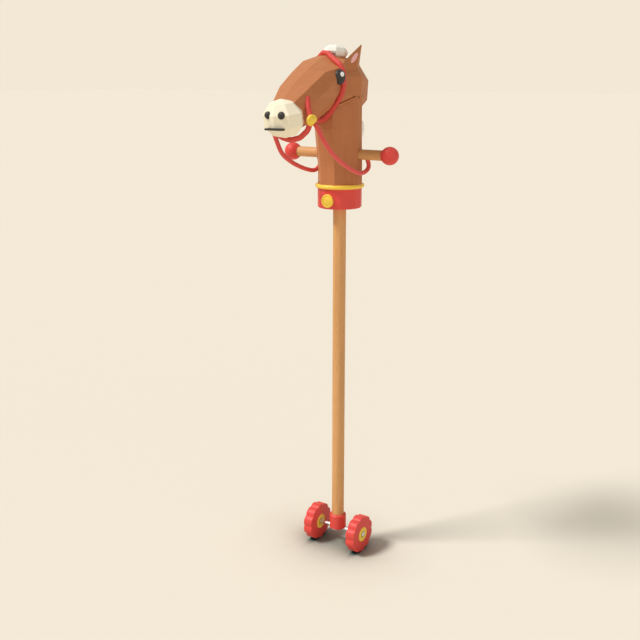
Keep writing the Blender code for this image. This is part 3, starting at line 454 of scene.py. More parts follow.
def apply_modifier(piece, kind, **settings):
    """Adds a modifier to a piece, and applies it."""
    bpy.ops.object.select_all(action="DESELECT")
    piece.select_set(True)
    bpy.context.view_layer.objects.active = piece
    modifier = piece.modifiers.new(kind.lower(), kind)
    for key, value in settings.items():
        setattr(modifier, key, value)
    bpy.ops.object.modifier_apply(modifier=modifier.name)


def combine(piece, other, operation):
    """Joins another piece to this one, or cuts it out, and takes the other away."""
    apply_modifier(piece, "BOOLEAN", operation=operation, solver="EXACT", object=other)
    bpy.data.objects.remove(other)


skull = facet_ball("skull", corners=8, rings=5)
scale_all(SKULL_RADII)
skull_place = Matrix.Translation(SKULL_MIDDLE) @ Matrix.Rotation(SKULL_PITCH, 4, "X")
close_piece(skull, skull_place, FACET_EDGE)
combine(head, skull, "UNION")

CREASE = 0.0020  # the gap in which the neck goes into the head
NECK_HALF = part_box("neck_block")[1][0]
neck_room = copy_of(frame["nodes"]["neck_block"], "neck_room", Matrix())
bpy.ops.object.mode_set(mode="EDIT")
bpy.ops.mesh.select_all(action="SELECT")
bpy.ops.mesh.remove_doubles(threshold=MERGE)
scale_all((1.0 + CREASE / NECK_HALF, 1.0, 1.0))
bpy.ops.transform.translate(value=(0.0, -CREASE, 0.0))
bpy.ops.object.mode_set(mode="OBJECT")
combine(head, neck_room, "DIFFERENCE")

KERF_SIZE = (0.1200, 0.0310, 0.0024)  # the saw cut: right through, this long, this wide
KERF_MIDDLE = (0.0, -0.0324, 0.0986)
KERF_RISE = math.radians(26.1)
kerf = open_new(bpy.ops.mesh.primitive_cube_add, "kerf", size=1.0)
scale_all(KERF_SIZE)
close_piece(kerf, Matrix.Translation(KERF_MIDDLE) @ Matrix.Rotation(KERF_RISE, 4, "X"))
combine(head, kerf, "DIFFERENCE")

# %% Soften the edges
SOFT_EDGE = 0.0006
EDGE_OVER = math.radians(6.0)  # facets that meet at less keep their edge
apply_modifier(
    head, "BEVEL", width=SOFT_EDGE, segments=2, limit_method="ANGLE", angle_limit=EDGE_OVER
)
bpy.ops.object.shade_smooth_by_angle(angle=math.radians(FACET_EDGE))
settle(head, "head_block", "brown_wood")
print("head:", len(head.data.polygons), "faces")

# %% [markdown]
# ## The ears
# An ear is a tall pyramid with a diamond for its foot, which leans back and a little outwards. A
# cube with its top drawn in would do, but a cone with four sides has the diamond already. The right
# ear is a copy, leaned the other way.

# %% Carve the ears
EAR_TIP = (0.0323, 0.0196, 0.1941)
EAR_SIZE = (0.0280, 0.0816, 0.0720)  # thick, front to back, long
EAR_BLUNT = 0.04  # the tip's width, as a share of the foot's
EAR_EDGE = 0.0005
EAR_LEAN = math.radians(-32.0)
EAR_SPLAY = math.radians(6.0)


def ear_place(side):
    """The place of an ear that was made with its tip at the origin: 1 is left, and -1 is right."""
    tip = Matrix.Translation((side * EAR_TIP[0], EAR_TIP[1], EAR_TIP[2]))
    return tip @ Matrix.Rotation(side * EAR_SPLAY, 4, "Y") @ Matrix.Rotation(EAR_LEAN, 4, "X")


left_ear = open_new(
    bpy.ops.mesh.primitive_cone_add,
    "left_ear_carved",
    vertices=4,
    radius1=1.0,
    radius2=EAR_BLUNT,
    depth=EAR_SIZE[2],
)
scale_all((EAR_SIZE[0] / 2, EAR_SIZE[1] / 2, 1.0))
bpy.ops.transform.translate(value=(0.0, 0.0, -EAR_SIZE[2] / 2))
bpy.ops.mesh.bevel(offset=EAR_EDGE, segments=2, affect="EDGES")
close_piece(left_ear, ear_place(1.0))
right_ear = copy_of(left_ear, "right_ear_carved", ear_place(-1.0) @ ear_place(1.0).inverted())
settle(left_ear, "left_ear", "brown_wood")
settle(right_ear, "right_ear", "brown_wood")

# %% [markdown]
# ## Rolled leather straps
# The bridle is two loops of leather: the headstall goes round the head behind the eyes, and the
# noseband under the jaw, with its ends let into the cheeks. Each is a strip that is rolled round a
# cord and sewn shut, so its section is a circle with a small pinched seam. It bends in short
# straights, as stiff leather does, so the path is a loop of straights with rounded corners. A torus
# would float over the carved facets, so the loop's corners are found by rays that stop at the wood.

# %% Bend a strap
STRAP_RADIUS = 0.0049
STRAP_SIDES = 24
STRAP_REST = 0.0038  # from the wood to the middle of the strap
STRAP_CORNER = 0.16  # where a corner's rounding starts, as a share of a straight
STRAP_STEP = 0.006  # a longer straight is read in four pieces
SEAM_SIDE = 20  # the side of the section at which the seam is
SEAM_DEPTH = 0.0006
SEAM_SHOULDER = 0.35  # how far the sides beside it are drawn in too
RAY_START = 0.2  # how far out a ray towards the head starts


def loop_point(middle, radii, tilt, angle):
    """A point of a leaning loop: the angle is 0 at the left side and a quarter turn at the top."""
    up = Vector((0.0, -math.sin(tilt), math.cos(tilt)))
    return middle + Vector((radii[0] * math.cos(angle), 0.0, 0.0)) + up * radii[1] * math.sin(angle)


def rounded_path(corners, closed):
    """The corners' own straights, with each corner cut off by a short curve."""
    path = []
    for i, corner in enumerate(corners):
        if not closed and i in (0, len(corners) - 1):
            path.append(corner)
            continue
        before = corner.lerp(corners[i - 1], STRAP_CORNER)
        after = corner.lerp(corners[(i + 1) % len(corners)], STRAP_CORNER)
        path += [before, (before + after) / 4 + corner / 2, after]
    steps = []
    for one, two in zip(path, path[1:] + ([path[0]] if closed else [])):
        pieces = 4 if (two - one).length > STRAP_STEP else 1
        steps += [one.lerp(two, k / pieces) for k in range(pieces)]
    return steps if closed else steps + [path[-1]]


def seamed_section(radius, sides, seam, depth):
    """A circle whose points are pinched in at the seam."""
    points = round_section(radius, sides)
    for offset, share in ((-1, SEAM_SHOULDER), (0, 1.0), (1, SEAM_SHOULDER)):
        place = (seam + offset) % sides
        points[place] = tuple(x * (1.0 - depth * share / radius) for x in points[place])
    return points


strap_section = seamed_section(STRAP_RADIUS, STRAP_SIDES, SEAM_SIDE, SEAM_DEPTH)
bpy.context.view_layer.update()
print("strap:", 2 * STRAP_RADIUS, "m thick")

# %% Lay the headstall
HEADSTALL_STRAIGHTS = 24
HEADSTALL_MIDDLE = Vector((0.0, -0.0475, 0.1234))
HEADSTALL_TILT = math.radians(-5.7)
HEADSTALL_TURN = 0.14  # how far forward its left side is, for each metre outwards
HEADSTALL_LEAD = 0.045  # how far forward its rays start at the upper left
SAG_LEAST = 0.0395  # its least reach, even where the wood is nearer
SAG_MORE = 0.0250  # what the sag under the jaw adds to that
SAG_TURN = 255.0  # where the sag is lowest, in degrees
SAG_WIDTH = 32.0  # and how far it spreads
corners = []
for k in range(HEADSTALL_STRAIGHTS):
    turn = 2 * math.pi * k / HEADSTALL_STRAIGHTS
    outside = loop_point(HEADSTALL_MIDDLE, (RAY_START, RAY_START), HEADSTALL_TILT, turn)
    lead = HEADSTALL_LEAD * max(0.0, math.sin(turn)) * math.cos(turn) * 2
    outside.y -= outside.x * HEADSTALL_TURN + lead
    inwards = (HEADSTALL_MIDDLE - outside).normalized()
    reach = (head.ray_cast(outside, inwards)[1] - HEADSTALL_MIDDLE).length + STRAP_REST
    sag = SAG_MORE * math.exp(-(((math.degrees(turn) - SAG_TURN) / SAG_WIDTH) ** 2))
    corners.append(HEADSTALL_MIDDLE - inwards * max(reach, SAG_LEAST + sag))
headstall, round_head = tube("headstall_strap", rounded_path(corners, True), strap_section, True)
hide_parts("headstall")
print("headstall:", round(round_head, 3), "m")

# %% Lay the noseband
NOSEBAND_STRAIGHTS = 10
NOSEBAND_MIDDLE = Vector((0.0, -0.15887, 0.07774))
NOSEBAND_RADII = (0.0448, 0.0448)
NOSEBAND_TILT = math.radians(1.0)
NOSEBAND_RISE = math.radians(38.0)  # of its ends, above its middle
NOSEBAND_BACK = 0.0090  # how far back its ends lie
NOSEBAND_SINK = 0.0070  # how deep its ends go into the cheeks
sweep = math.pi + 2 * NOSEBAND_RISE
corners = []
for k in range(NOSEBAND_STRAIGHTS + 1):
    angle = NOSEBAND_RISE - sweep * k / NOSEBAND_STRAIGHTS
    above = max(0.0, math.sin(angle) / math.sin(NOSEBAND_RISE))
    corner = loop_point(NOSEBAND_MIDDLE, NOSEBAND_RADII, NOSEBAND_TILT, angle)
    corner.y += NOSEBAND_BACK * above
    if above:
        side = math.copysign(1.0, corner.x)
        cheek = head.ray_cast((side * RAY_START, corner.y, corner.z), (-side, 0.0, 0.0))[1]
        corner.x = cheek.x + side * (STRAP_REST - NOSEBAND_SINK * above**2)
    corners.append(corner)
noseband, under_jaw = tube("noseband_strap", rounded_path(corners, False), strap_section)
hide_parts("noseband")
straps = [headstall, noseband]
for strap in straps:
    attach(strap, "horse")
print("noseband:", round(under_jaw, 3), "m")

# %% [markdown]
# ## The lathe
# Knobs, hubs, studs and rings are turned work. Built up from cylinders and tori, they would have
# seams to hide. Here half of the section is drawn as a chain of points, each extruded from the
# last, and spun a full turn round the axis. A row of points on an arc gives the round parts, and
# two points near a corner give it a crisp edge.

# %% Turn a piece on the lathe
LATHE_STEPS = 64
TO_LEFT = Matrix.Rotation(math.pi / 2, 4, "Y")  # the lathe's axis along +X
HALF_TURN = Matrix.Rotation(math.pi, 4, "Z")


def arc(radius, start, end, steps, middle=(0.0, 0.0)):
    """Points (out, up) on an arc, for angles in degrees from straight up towards outwards."""
    angles = [math.radians(start + (end - start) * k / steps) for k in range(steps + 1)]
    return [(middle[0] + radius * math.sin(a), middle[1] + radius * math.cos(a)) for a in angles]


def turned(name, section, place):
    """Spins a section of (out, up) points, in metres, round its axis, and puts it in place."""
    piece = open_new(bpy.ops.mesh.primitive_plane_add, name, size=0.001)
    bpy.ops.mesh.select_all(action="SELECT")
    bpy.ops.mesh.merge(type="CENTER")
    here = Vector((section[0][0], 0.0, section[0][1]))
    bpy.ops.transform.translate(value=here)
    for out, up in section[1:]:
        there = Vector((out, 0.0, up))
        bpy.ops.mesh.extrude_region_move(TRANSFORM_OT_translate={"value": there - here})
        here = there
    bpy.ops.mesh.select_all(action="SELECT")
    bpy.ops.mesh.spin(steps=LATHE_STEPS, angle=2 * math.pi, center=ORIGIN, axis=(0.0, 0.0, 1.0))
    close_piece(piece, place)
    return piece


# %% [markdown]
# ## The pink leaves of the ears
# The pink inside of an ear is a thin leaf, let into the ear's outer face. It could be cut from a
# flat sheet, but a pointed spindle from the lathe, pressed flat, has the thin edge and the soft
# belly already. Three directions place it: out of the ear, down along it, and across.

# %% Turn the leaves and press them flat
LEAF_LONG = 0.0150  # half its length
LEAF_WIDE = 0.0044  # half its width
LEAF_THIN = 0.35  # its thickness, as a share of the width
LEAF_POINTS = 16
LEAF_TAPER = 1.2
LEAF_MIDDLE = (0.0330, -0.0056, 0.1712)
LEAF_OUT = Vector((0.959, -0.179, 0.218))
LEAF_DOWN = Vector((-0.010, -0.794, -0.608))
leaf_section = []
for k in range(LEAF_POINTS + 1):
    turn = math.pi * k / LEAF_POINTS
    leaf_section.append((LEAF_WIDE * math.sin(turn) ** LEAF_TAPER, LEAF_LONG * math.cos(turn)))
for side, name in ((1.0, "left"), (-1.0, "right")):
    mirror = Vector((side, 1.0, 1.0))
    out, down = LEAF_OUT * mirror, LEAF_DOWN * mirror
    place = Matrix((out.cross(down), out * LEAF_THIN, down)).transposed().to_4x4()
    place.translation = Vector(LEAF_MIDDLE) * mirror
    leaf = turned(f"{name}_leaf", leaf_section, place)
    settle(leaf, f"{name}_ear_inner", "pink_paint")

# %% [markdown]
# ## The knobs on the hand bar
# Each knob is a ball of wood with a blind hole that fits over the end of the bar. Where the bar goes
# in, the ball has a small turned lip. A sphere with a hole cut out of it would do, but the lathe
# gives the ball, the lip and the hole from one section, with clean edges.

# %% Turn the knobs
KNOB_RADIUS = 0.0167
KNOB_X = 0.1069
KNOB_STEPS = 30
BAR_HOLE = BAR_RADIUS + 0.0003
HOLE_PAST_MIDDLE = 0.0033
LIP = 0.0012
lip_angle = math.degrees(math.asin((BAR_HOLE + LIP) / KNOB_RADIUS))
knob_section = arc(KNOB_RADIUS, 0.0, 180.0 - lip_angle, KNOB_STEPS)
lip_height = knob_section[-1][1]
knob_section += [
    (BAR_HOLE + LIP, lip_height - LIP * 0.6),
    (BAR_HOLE + LIP * 0.7, lip_height - LIP),
    (BAR_HOLE + LIP * 0.2, lip_height - LIP),
    (BAR_HOLE, lip_height - LIP * 0.8),
    (BAR_HOLE, HOLE_PAST_MIDDLE),
    (0.0, HOLE_PAST_MIDDLE),
]
left_knob = turned("left_knob", knob_section, Matrix.Translation((KNOB_X, 0.0, 0.0)) @ TO_LEFT)
right_knob = copy_of(left_knob, "right_knob", HALF_TURN)
settle(left_knob, "left_ball", "red_paint")
settle(right_knob, "right_ball", "red_paint")

# %% [markdown]
# ## The gold studs and the collar's boss
# A brass-coloured stud covers each joint of noseband and rein: a low dome inside a rolled rim. The
# collar has a larger boss of the same kind on its front, on a shank that goes through the collar,
# and a gold hoop round its top. A coin shape with a bevel would look flat, so each is turned, with
# the dome and the rim as arcs. The places come from the boxes of the solids that they stand for.

# %% Turn the two studs
stud_section = [(0.0, 0.0062), *arc(0.0125, 8.0, 32.0, 6, (0.0, -0.0063))]
stud_section += [(0.0072, 0.0031), *arc(0.0014, -50.0, 110.0, 8, (0.0084, 0.0021))]
stud_section += [(0.0098, 0.0004), (0.0096, -0.0016), (0.0080, -0.0036)]
stud_section += [(0.0050, -0.0052), (0.0, -0.0060)]
low, high = (Vector(corner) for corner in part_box("left_medallion"))
STUD_DROP = math.radians(13.0)
STUD_YAW = math.radians(17.0)


def stud_place(side):
    """The place of a stud, flat on its cheek, which faces a little down and forward."""
    spot = (low + high) / 2 * Vector((side, 1.0, 1.0))
    lean = Matrix.Rotation(-side * STUD_YAW, 4, "Z") @ Matrix.Rotation(side * STUD_DROP, 4, "Y")
    return Matrix.Translation(spot) @ lean @ Matrix.Rotation(side * math.pi / 2, 4, "Y")


left_stud = turned("left_stud", stud_section, stud_place(1.0))
right_stud = copy_of(left_stud, "right_stud", stud_place(-1.0) @ stud_place(1.0).inverted())
settle(left_stud, "left_medallion", "gold_paint")
settle(right_stud, "right_medallion", "gold_paint")

# %% Turn the boss
low, high = (Vector(corner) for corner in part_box("collar_button"))
BOSS_RADIUS = 0.0124
BOSS_THICKNESS = 0.0045
SHANK_RADIUS = 0.0025
SHANK_LENGTH = high.y - low.y - BOSS_THICKNESS
boss_section = [(0.0, 0.0052), *arc(0.0210, 8.0, 24.0, 5, (0.0, -0.0158)), (0.0092, 0.0028)]
boss_section += arc(0.0016, -60.0, 90.0, 8, (0.0108, 0.0028))
boss_section += [(BOSS_RADIUS, 0.0004), (0.0120, 0.0), (SHANK_RADIUS, 0.0)]
boss_section += [(SHANK_RADIUS, -SHANK_LENGTH), (0.0, -SHANK_LENGTH)]
boss_place = Matrix.Translation((0.0, low.y + BOSS_THICKNESS, (low.z + high.z) / 2))
boss = turned("collar_boss", boss_section, boss_place @ Matrix.Rotation(math.pi / 2, 4, "X"))
settle(boss, "collar_button", "gold_paint")

# %% Turn the hoop
low, high = (Vector(corner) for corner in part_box("collar_ring"))
HOOP_SECTION = (high.z - low.z) / 2
HOOP_RADIUS = high.y - HOOP_SECTION
HOOP_STEPS = 20
hoop_section = arc(HOOP_SECTION, 0.0, 360.0, HOOP_STEPS, (HOOP_RADIUS, 0.0))
hoop_place = Matrix.Translation((0.0, (low.y + high.y) / 2, (low.z + high.z) / 2))
hoop = turned("collar_hoop", hoop_section, hoop_place)
settle(hoop, "collar_ring", "gold_paint")

# %% [markdown]
# ## The lobed wheels
# Each wheel is sawn from a board, with ten round lobes, and drilled from both sides for its two
# flanged hubs. Ten cylinders could be joined round a disc, but one outline gives a cleaner rim. So
# a cylinder has its rim drawn in, one phase of all ten lobes at a time, until they meet in notches.
# Each face is inset, rounded to a circle and pressed in step by step for a hub, and the two seats
# are bridged to make the bore. The rim is bevelled.

# %% Saw the wheels
WHEEL_RADIUS = 0.0380
WHEEL_WIDTH = 0.0190
WHEEL_X = 0.0517
LOBES = 10
LOBE_RADIUS = 0.0140
LOBE_PHASE = math.radians(18.0)
LOBE_POINTS = 16
RIM_INSET = 0.0008
RIM_EDGE = 0.0004
RIM_MARGIN = 0.0003  # a rim edge lies no deeper than a notch, less this
HUB_SEAT = (0.0154, 0.0013)  # radius and depth
HUB_BARREL = (0.0073, 0.0065)
BORE_RADIUS = 0.0055
AXLE_HEIGHT = FLOOR_HEIGHT + WHEEL_RADIUS


def phase_of(point):
    """Which of a lobe's points this is, counted from the middle of the lobe."""
    turn = math.atan2(point.y, point.x) - LOBE_PHASE
    return round(turn / (2 * math.pi) * LOBES * LOBE_POINTS) % LOBE_POINTS


def lobe_reach(phase):
    """How far the rim is from the middle, at a phase of a lobe."""
    turn = 2 * math.pi / LOBES * (min(phase, LOBE_POINTS - phase) / LOBE_POINTS)
    middle = WHEEL_RADIUS - LOBE_RADIUS
    return middle * math.cos(turn) + math.sqrt(LOBE_RADIUS**2 - (middle * math.sin(turn)) ** 2)


def draw_in(factor):
    """Scales what is selected towards the axle, and leaves the wheel's width."""
    bpy.ops.transform.resize(value=(factor, factor, 1.0), center_override=ORIGIN)


def saw_rim(piece):
    """Draws the points of the rim in to the lobes, one phase of all ten at a time."""
    for phase in range(LOBE_POINTS):
        choose(piece, "verts", lambda v: phase_of(v.co) == phase)
        draw_in(lobe_reach(phase) / WHEEL_RADIUS)


def round_inset(piece):
    """Draws the outline of the face that is selected in to the round seat of a hub."""
    work = bmesh.from_edit_mesh(piece.data)
    outline = list(dict.fromkeys(v.index for f in work.faces if f.select for v in f.verts))
    for phase in range(LOBE_POINTS):
        work = bmesh.from_edit_mesh(piece.data)
        work.verts.ensure_lookup_table()
        ring = [work.verts[i] for i in outline if phase_of(work.verts[i].co) == phase]
        reach = ring[0].co.xy.length
        in_ring = {v.index for v in ring}
        choose(piece, "verts", lambda v: v.index in in_ring)
        draw_in(HUB_SEAT[0] / reach)


def press_in(depth):
    """Presses the face that is selected along the axle."""
    bpy.ops.mesh.extrude_region_move(TRANSFORM_OT_translate={"value": (0.0, 0.0, depth)})


wheel = open_new(
    bpy.ops.mesh.primitive_cylinder_add,
    "left_lobed_wheel",
    vertices=LOBES * LOBE_POINTS,
    radius=WHEEL_RADIUS,
    depth=WHEEL_WIDTH,
)
bpy.ops.mesh.select_all(action="SELECT")
bpy.ops.transform.rotate(value=math.pi / 2 - LOBE_PHASE, orient_axis="Z", center_override=ORIGIN)
saw_rim(wheel)
for end in (1, -1):
    choose(wheel, "faces", lambda f: f.normal.z * end > 0.9)
    bpy.ops.mesh.inset(thickness=RIM_INSET)
    round_inset(wheel)
    choose(wheel, "faces", lambda f: f.normal.z * end > 0.9 and len(f.verts) > 4)
    press_in(-end * HUB_SEAT[1])
    bpy.ops.mesh.inset(thickness=HUB_SEAT[0] - HUB_BARREL[0])
    press_in(-end * HUB_BARREL[1])
    bpy.ops.mesh.inset(thickness=HUB_BARREL[0] - BORE_RADIUS)
choose(wheel, "faces", lambda f: len(f.verts) > 4)
bpy.ops.mesh.bridge_edge_loops()


def on_rim(edge):
    """Whether this is an edge between the rim and a face of the wheel."""
    notch = lobe_reach(LOBE_POINTS // 2)
    for v in edge.verts:
        if abs(abs(v.co.z) - WHEEL_WIDTH / 2) > 1e-5 or v.co.xy.length < notch - RIM_MARGIN:
            return False
    return edge.calc_face_angle(0.0) > 1.0


choose(wheel, "edges", on_rim)
bpy.ops.mesh.bevel(offset=RIM_EDGE, segments=3, affect="EDGES")
upright = Matrix(((0, 0, -1), (-1, 0, 0), (0, 1, 0))).to_4x4()  # its axle turned to X
close_piece(wheel, Matrix.Translation((WHEEL_X, 0.0, AXLE_HEIGHT)) @ upright)
other_wheel = copy_of(wheel, "right_lobed_wheel", Matrix.Translation((-2 * WHEEL_X, 0.0, 0.0)))
settle(wheel, "left_wheel", "red_paint", "left_wheel")
settle(other_wheel, "right_wheel", "red_paint", "right_wheel")

# %% [markdown]
# ## The hubs
# A hub is a flanged bush. Its flange shows as the gold disc round the axle, with a raised bead round
# the hole, a shallow dish and a rounded rim, and its barrel goes into the wheel. A disc and a tube
# would do from far away, but the bead and the dish catch the light, so the section draws them all.

# %% Turn the four hubs
HUB_PROUD = 0.0005  # how far the flange stands out of the wheel
hub_section = [(0.0046, -0.0080), (0.0069, -0.0080), (0.0070, -0.0078)]
hub_section += [(0.0070, -0.0015), (0.0151, -0.0015)]
hub_section += arc(0.0009, 90.0, 0.0, 5, (0.0142, -0.0009))
hub_section += [(0.0132, -0.0001), (0.0122, -0.0006), (0.0082, -0.0006), (0.0074, -0.0002)]
hub_section += [*arc(0.0006, -60.0, 60.0, 5, (0.0066, -0.0004)), (0.0058, -0.0002)]
hub_section += [(0.0047, -0.0002), (0.0046, -0.0003), (0.0046, -0.0080)]
flange_x = WHEEL_X + (WHEEL_WIDTH / 2 + HUB_PROUD)
hub_place = Matrix.Translation((flange_x, 0.0, AXLE_HEIGHT)) @ TO_LEFT
hub = turned("left_outer_hub", hub_section, hub_place)
settle(hub, "left_outer_bush", "gold_paint", "left_wheel")
turned_in = Matrix.Translation((2 * WHEEL_X, 0.0, 0.0)) @ HALF_TURN
for name, move in (
    ("left_inner", turned_in),
    ("right_outer", HALF_TURN),
    ("right_inner", Matrix.Translation((-2 * WHEEL_X, 0.0, 0.0))),
):
    body = f"{name.split('_')[0]}_wheel"
    settle(copy_of(hub, f"{name}_hub", move), f"{name}_bush", "gold_paint", body)

# %% [markdown]
# ## A short way to write materials
# A material is a graph of nodes, which is hard to read when it is linked by hand. So `Look` makes a
# material and adds any node to it, and `Number` wraps one of its outputs, so that sums of patterns
# are plain arithmetic. A noise has a scale in waves per metre, a detail and a roughness.

# %% The two helper classes
class Number:
    """An output of a node, for use in arithmetic."""

    def __init__(self, look, link):
        self.look = look
        self.link = link

    def maths(self, operation, one, two, clamp=False):
        return self.look.node("Math", {"operation": operation, "use_clamp": clamp}, {0: one, 1: two})

    def __add__(self, other):
        return self.maths("ADD", self, other)

    def __sub__(self, other):
        return self.maths("SUBTRACT", self, other)

    def __rsub__(self, other):
        return self.maths("SUBTRACT", other, self)

    def __mul__(self, other):
        return self.maths("MULTIPLY", self, other)

    def clamped(self):
        return self.maths("ADD", self, 0.0, clamp=True)

    def sine(self):
        return self.maths("SINE", self, 0.0)

    __radd__ = __add__
    __rmul__ = __mul__


class Look:
    """A new material with one Principled surface."""

    def __init__(self, name):
        self.material = bpy.data.materials.new(name)
        self.material.use_nodes = True
        self.tree = self.material.node_tree
        self.surface = self.tree.nodes["Principled BSDF"]
        print("material:", name)

    def plug(self, socket, value):
        if isinstance(value, Number):
            self.tree.links.new(value.link, socket)
        elif socket.type == "RGBA" and len(value) == 3:
            socket.default_value = (*value, 1.0)
        else:
            socket.default_value = value

    def node(self, kind, settings=None, sockets=None, output=0):
        made = self.tree.nodes.new("ShaderNode" + kind)
        for key, value in (settings or {}).items():
            setattr(made, key, value)
        for key, value in (sockets or {}).items():
            self.plug(made.inputs[key], value)
        return Number(self, made.outputs[output])

    def set(self, sockets):
        for key, value in sockets.items():
            self.plug(self.surface.inputs[key], value)

    def place(self, scale=(1.0, 1.0, 1.0)):
        """The point on the surface, in the piece's own metres, stretched."""
        spot = self.node("TexCoord", output="Object")
        return self.node("Mapping", sockets={"Vector": spot, "Scale": scale})

    def noise(self, spot, scale, detail, roughness):
        sockets = {"Vector": spot, "Scale": scale, "Detail": detail, "Roughness": roughness}
        return self.node("TexNoise", sockets=sockets)

    def step(self, value, low, high):
        """0 below low, 1 above high, and a smooth rise between them."""
        sockets = {"Value": value, "From Min": low, "From Max": high}
        return self.node("MapRange", {"interpolation_type": "SMOOTHSTEP"}, sockets)

    def mix(self, share, one, two):
        return self.node("Mix", {"data_type": "RGBA"}, {0: share, 6: one, 7: two}, output=2)

    def edges(self, radius):
        """Near 1 on sharp edges and 0 on flats."""
        ends = {0: self.rounded(radius), 1: self.node("NewGeometry", output="Normal")}
        along = self.node("VectorMath", {"operation": "DOT_PRODUCT"}, ends, output="Value")
        return self.step(1.0 - along, 0.02, 0.22)

    def rounded(self, radius):
        """The surface's direction, as if its edges had this radius."""
        return self.node("Bevel", {"samples": 6}, {"Radius": radius})

    def bump(self, height, distance, rounding=0.0):
        """Relief of the given height in metres, over edges that are softened by a radius."""
        sockets = {"Height": height, "Distance": distance, "Strength": 1.0}
        if rounding:
            sockets["Normal"] = self.rounded(rounding)
        self.set({"Normal": self.node("Bump", sockets=sockets)})


# %% [markdown]
# ## Lacquered and stained wood
# The pole and the hand bar are turned from straight-grained wood under a clear satin lacquer, and
# the head and the neck are stained brown. A picture of wood would need a map on every piece, so the
# grain is noise that is stretched along the stick until it becomes lines: broad ones for the year
# rings, thin ones for the fibres, and short dark dashes for the pores.

# %% Wood materials
GRAIN_STRETCH = 0.035  # the noise's scale along the grain, as a share of that across it


def wood(name, light, dark, along, rounding, pores=1.0, gloss=0.42):
    """Wood with its grain along one axis, and edges that are softened by a radius."""
    look = Look(name)
    stretch = [1.0, 1.0, 1.0]
    stretch["XYZ".index(along)] = GRAIN_STRETCH
    spot = look.place(stretch)
    broad = look.noise(spot, 130.0, 3.0, 0.6)
    fine = look.noise(spot, 900.0, 2.0, 0.5)
    dashes = look.step(look.noise(spot, 1500.0, 1.0, 0.5), 0.63, 0.72)
    patches = look.noise(look.place(), 14.0, 2.0, 0.5)
    lines = look.step(broad, 0.35, 0.70) * 0.60 + look.step(fine, 0.3, 0.7) * 0.25
    grain = (lines + patches * 0.2).clamped()
    rubbed = look.step(look.noise(look.place(), 90.0, 3.0, 0.6), 0.42, 0.62)
    worn = look.edges(0.0012) * rubbed
    colour = look.mix(grain, light, dark)
    colour = look.mix(dashes * (0.35 * pores), colour, [c * 0.45 for c in dark])
    colour = look.mix(worn * 0.5, colour, [min(1.0, c * 1.35) for c in light])
    roughness = gloss + grain * 0.12 + dashes * 0.10
    look.set({"Base Color": colour, "Roughness": roughness, "Specular IOR Level": 0.25})
    look.bump(fine * 0.6 - dashes * 1.0 + broad * 0.3, 0.00006, rounding)
    return look.material


POLE_TONES = ((0.740, 0.385, 0.150), (0.610, 0.300, 0.110))
HEAD_TONES = ((0.528, 0.196, 0.074), (0.480, 0.172, 0.063))
pole_wood = wood("lacquered_pole", *POLE_TONES, "Z", 0.0015)
bar_wood = wood("lacquered_bar", *POLE_TONES, "X", 0.0012)
head_wood = wood("stained_head", *HEAD_TONES, "Y", 0.0006, pores=0.5, gloss=0.50)
neck_wood = wood("stained_neck", *HEAD_TONES, "Z", 0.0006, pores=0.5, gloss=0.50)

# %% [markdown]
# ## Paint on wood
# The wheels, the knobs, the collar, the muzzle and the hair are painted. One flat colour would look
# like plastic. Brushed paint shows soft streaks, a few specks of dust and edges that are rubbed
# thin, where a lighter undercoat comes through.

# %% Paint materials
DUST = (0.60, 0.50, 0.38)


def paint(name, colour, under, roughness=0.42, wear=0.6, dust=0.25, rounding=0.0008):
    """Brushed paint over an undercoat, with edges that are softened by a radius."""
    look = Look(name)
    spot = look.place()
    cloud = look.noise(spot, 22.0, 3.0, 0.55)
    streaks = look.noise(look.place((1.0, 1.0, 0.12)), 420.0, 2.0, 0.6)
    peel = look.noise(spot, 700.0, 2.0, 0.5)
    chips = look.step(look.noise(spot, 120.0, 4.0, 0.65), 0.50, 0.60)
    worn = look.edges(0.0010) * chips * wear
    shade = look.mix(cloud, [c * 0.93 for c in colour], [min(1.0, c * 1.05) for c in colour])
    shade = look.mix(streaks * 0.25, shade, [c * 0.86 for c in colour])
    shade = look.mix(worn, shade, under)
    specks = look.step(look.noise(spot, 260.0, 2.0, 0.7), 0.66, 0.74) * dust
    shade = look.mix(specks, shade, DUST)
    look.set({
        "Base Color": shade,
        "Roughness": roughness + cloud * 0.10 + worn * 0.25 + specks * 0.2,
        "Specular IOR Level": 0.35,
    })
    look.bump(peel * 0.5 + streaks * 0.5 - worn * 1.5, 0.00005, rounding)
    return look.material


BARE_WOOD = (0.78, 0.62, 0.42)
red = paint("red_paint", (0.765, 0.068, 0.053), (0.80, 0.42, 0.25))
gold = paint("gold_paint", (0.990, 0.655, 0.070), (0.70, 0.45, 0.20), 0.36, wear=0.4)
cream = paint("cream_paint", (0.960, 0.860, 0.640), BARE_WOOD, 0.55, rounding=0.0005)
hair = paint("hair_paint", (1.000, 0.955, 0.845), BARE_WOOD, 0.60, rounding=0.0005)
dark = paint("dark_paint", (0.034, 0.029, 0.026), (0.15, 0.12, 0.10), 0.40, wear=0.2, dust=0.05)
# The white paint is the dot on each eye: a painted highlight.
white = paint("white_paint", (0.960, 0.950, 0.930), (0.80, 0.78, 0.74), 0.30, wear=0.0, dust=0.0)
pink = paint("pink_paint", (1.000, 0.500, 0.480), (0.60, 0.30, 0.22), 0.55, wear=0.4)

# %% [markdown]
# ## Steel, leather and braided cord
# The axle is zinc-plated steel with fine rings from the lathe, and the straps are round leather with
# a pebbled grain, which is a net of small cells. The reins are braided from flat strands that cross
# each other at a slant. Strands could be modelled one by one, but they are under a millimetre deep,
# so they are a wave in each direction along the cord's own UV map.

# %% Steel, leather and cord
STRANDS = 4  # waves round the cord, in each direction
BRAID_LENGTH = 0.0085  # one wave along it


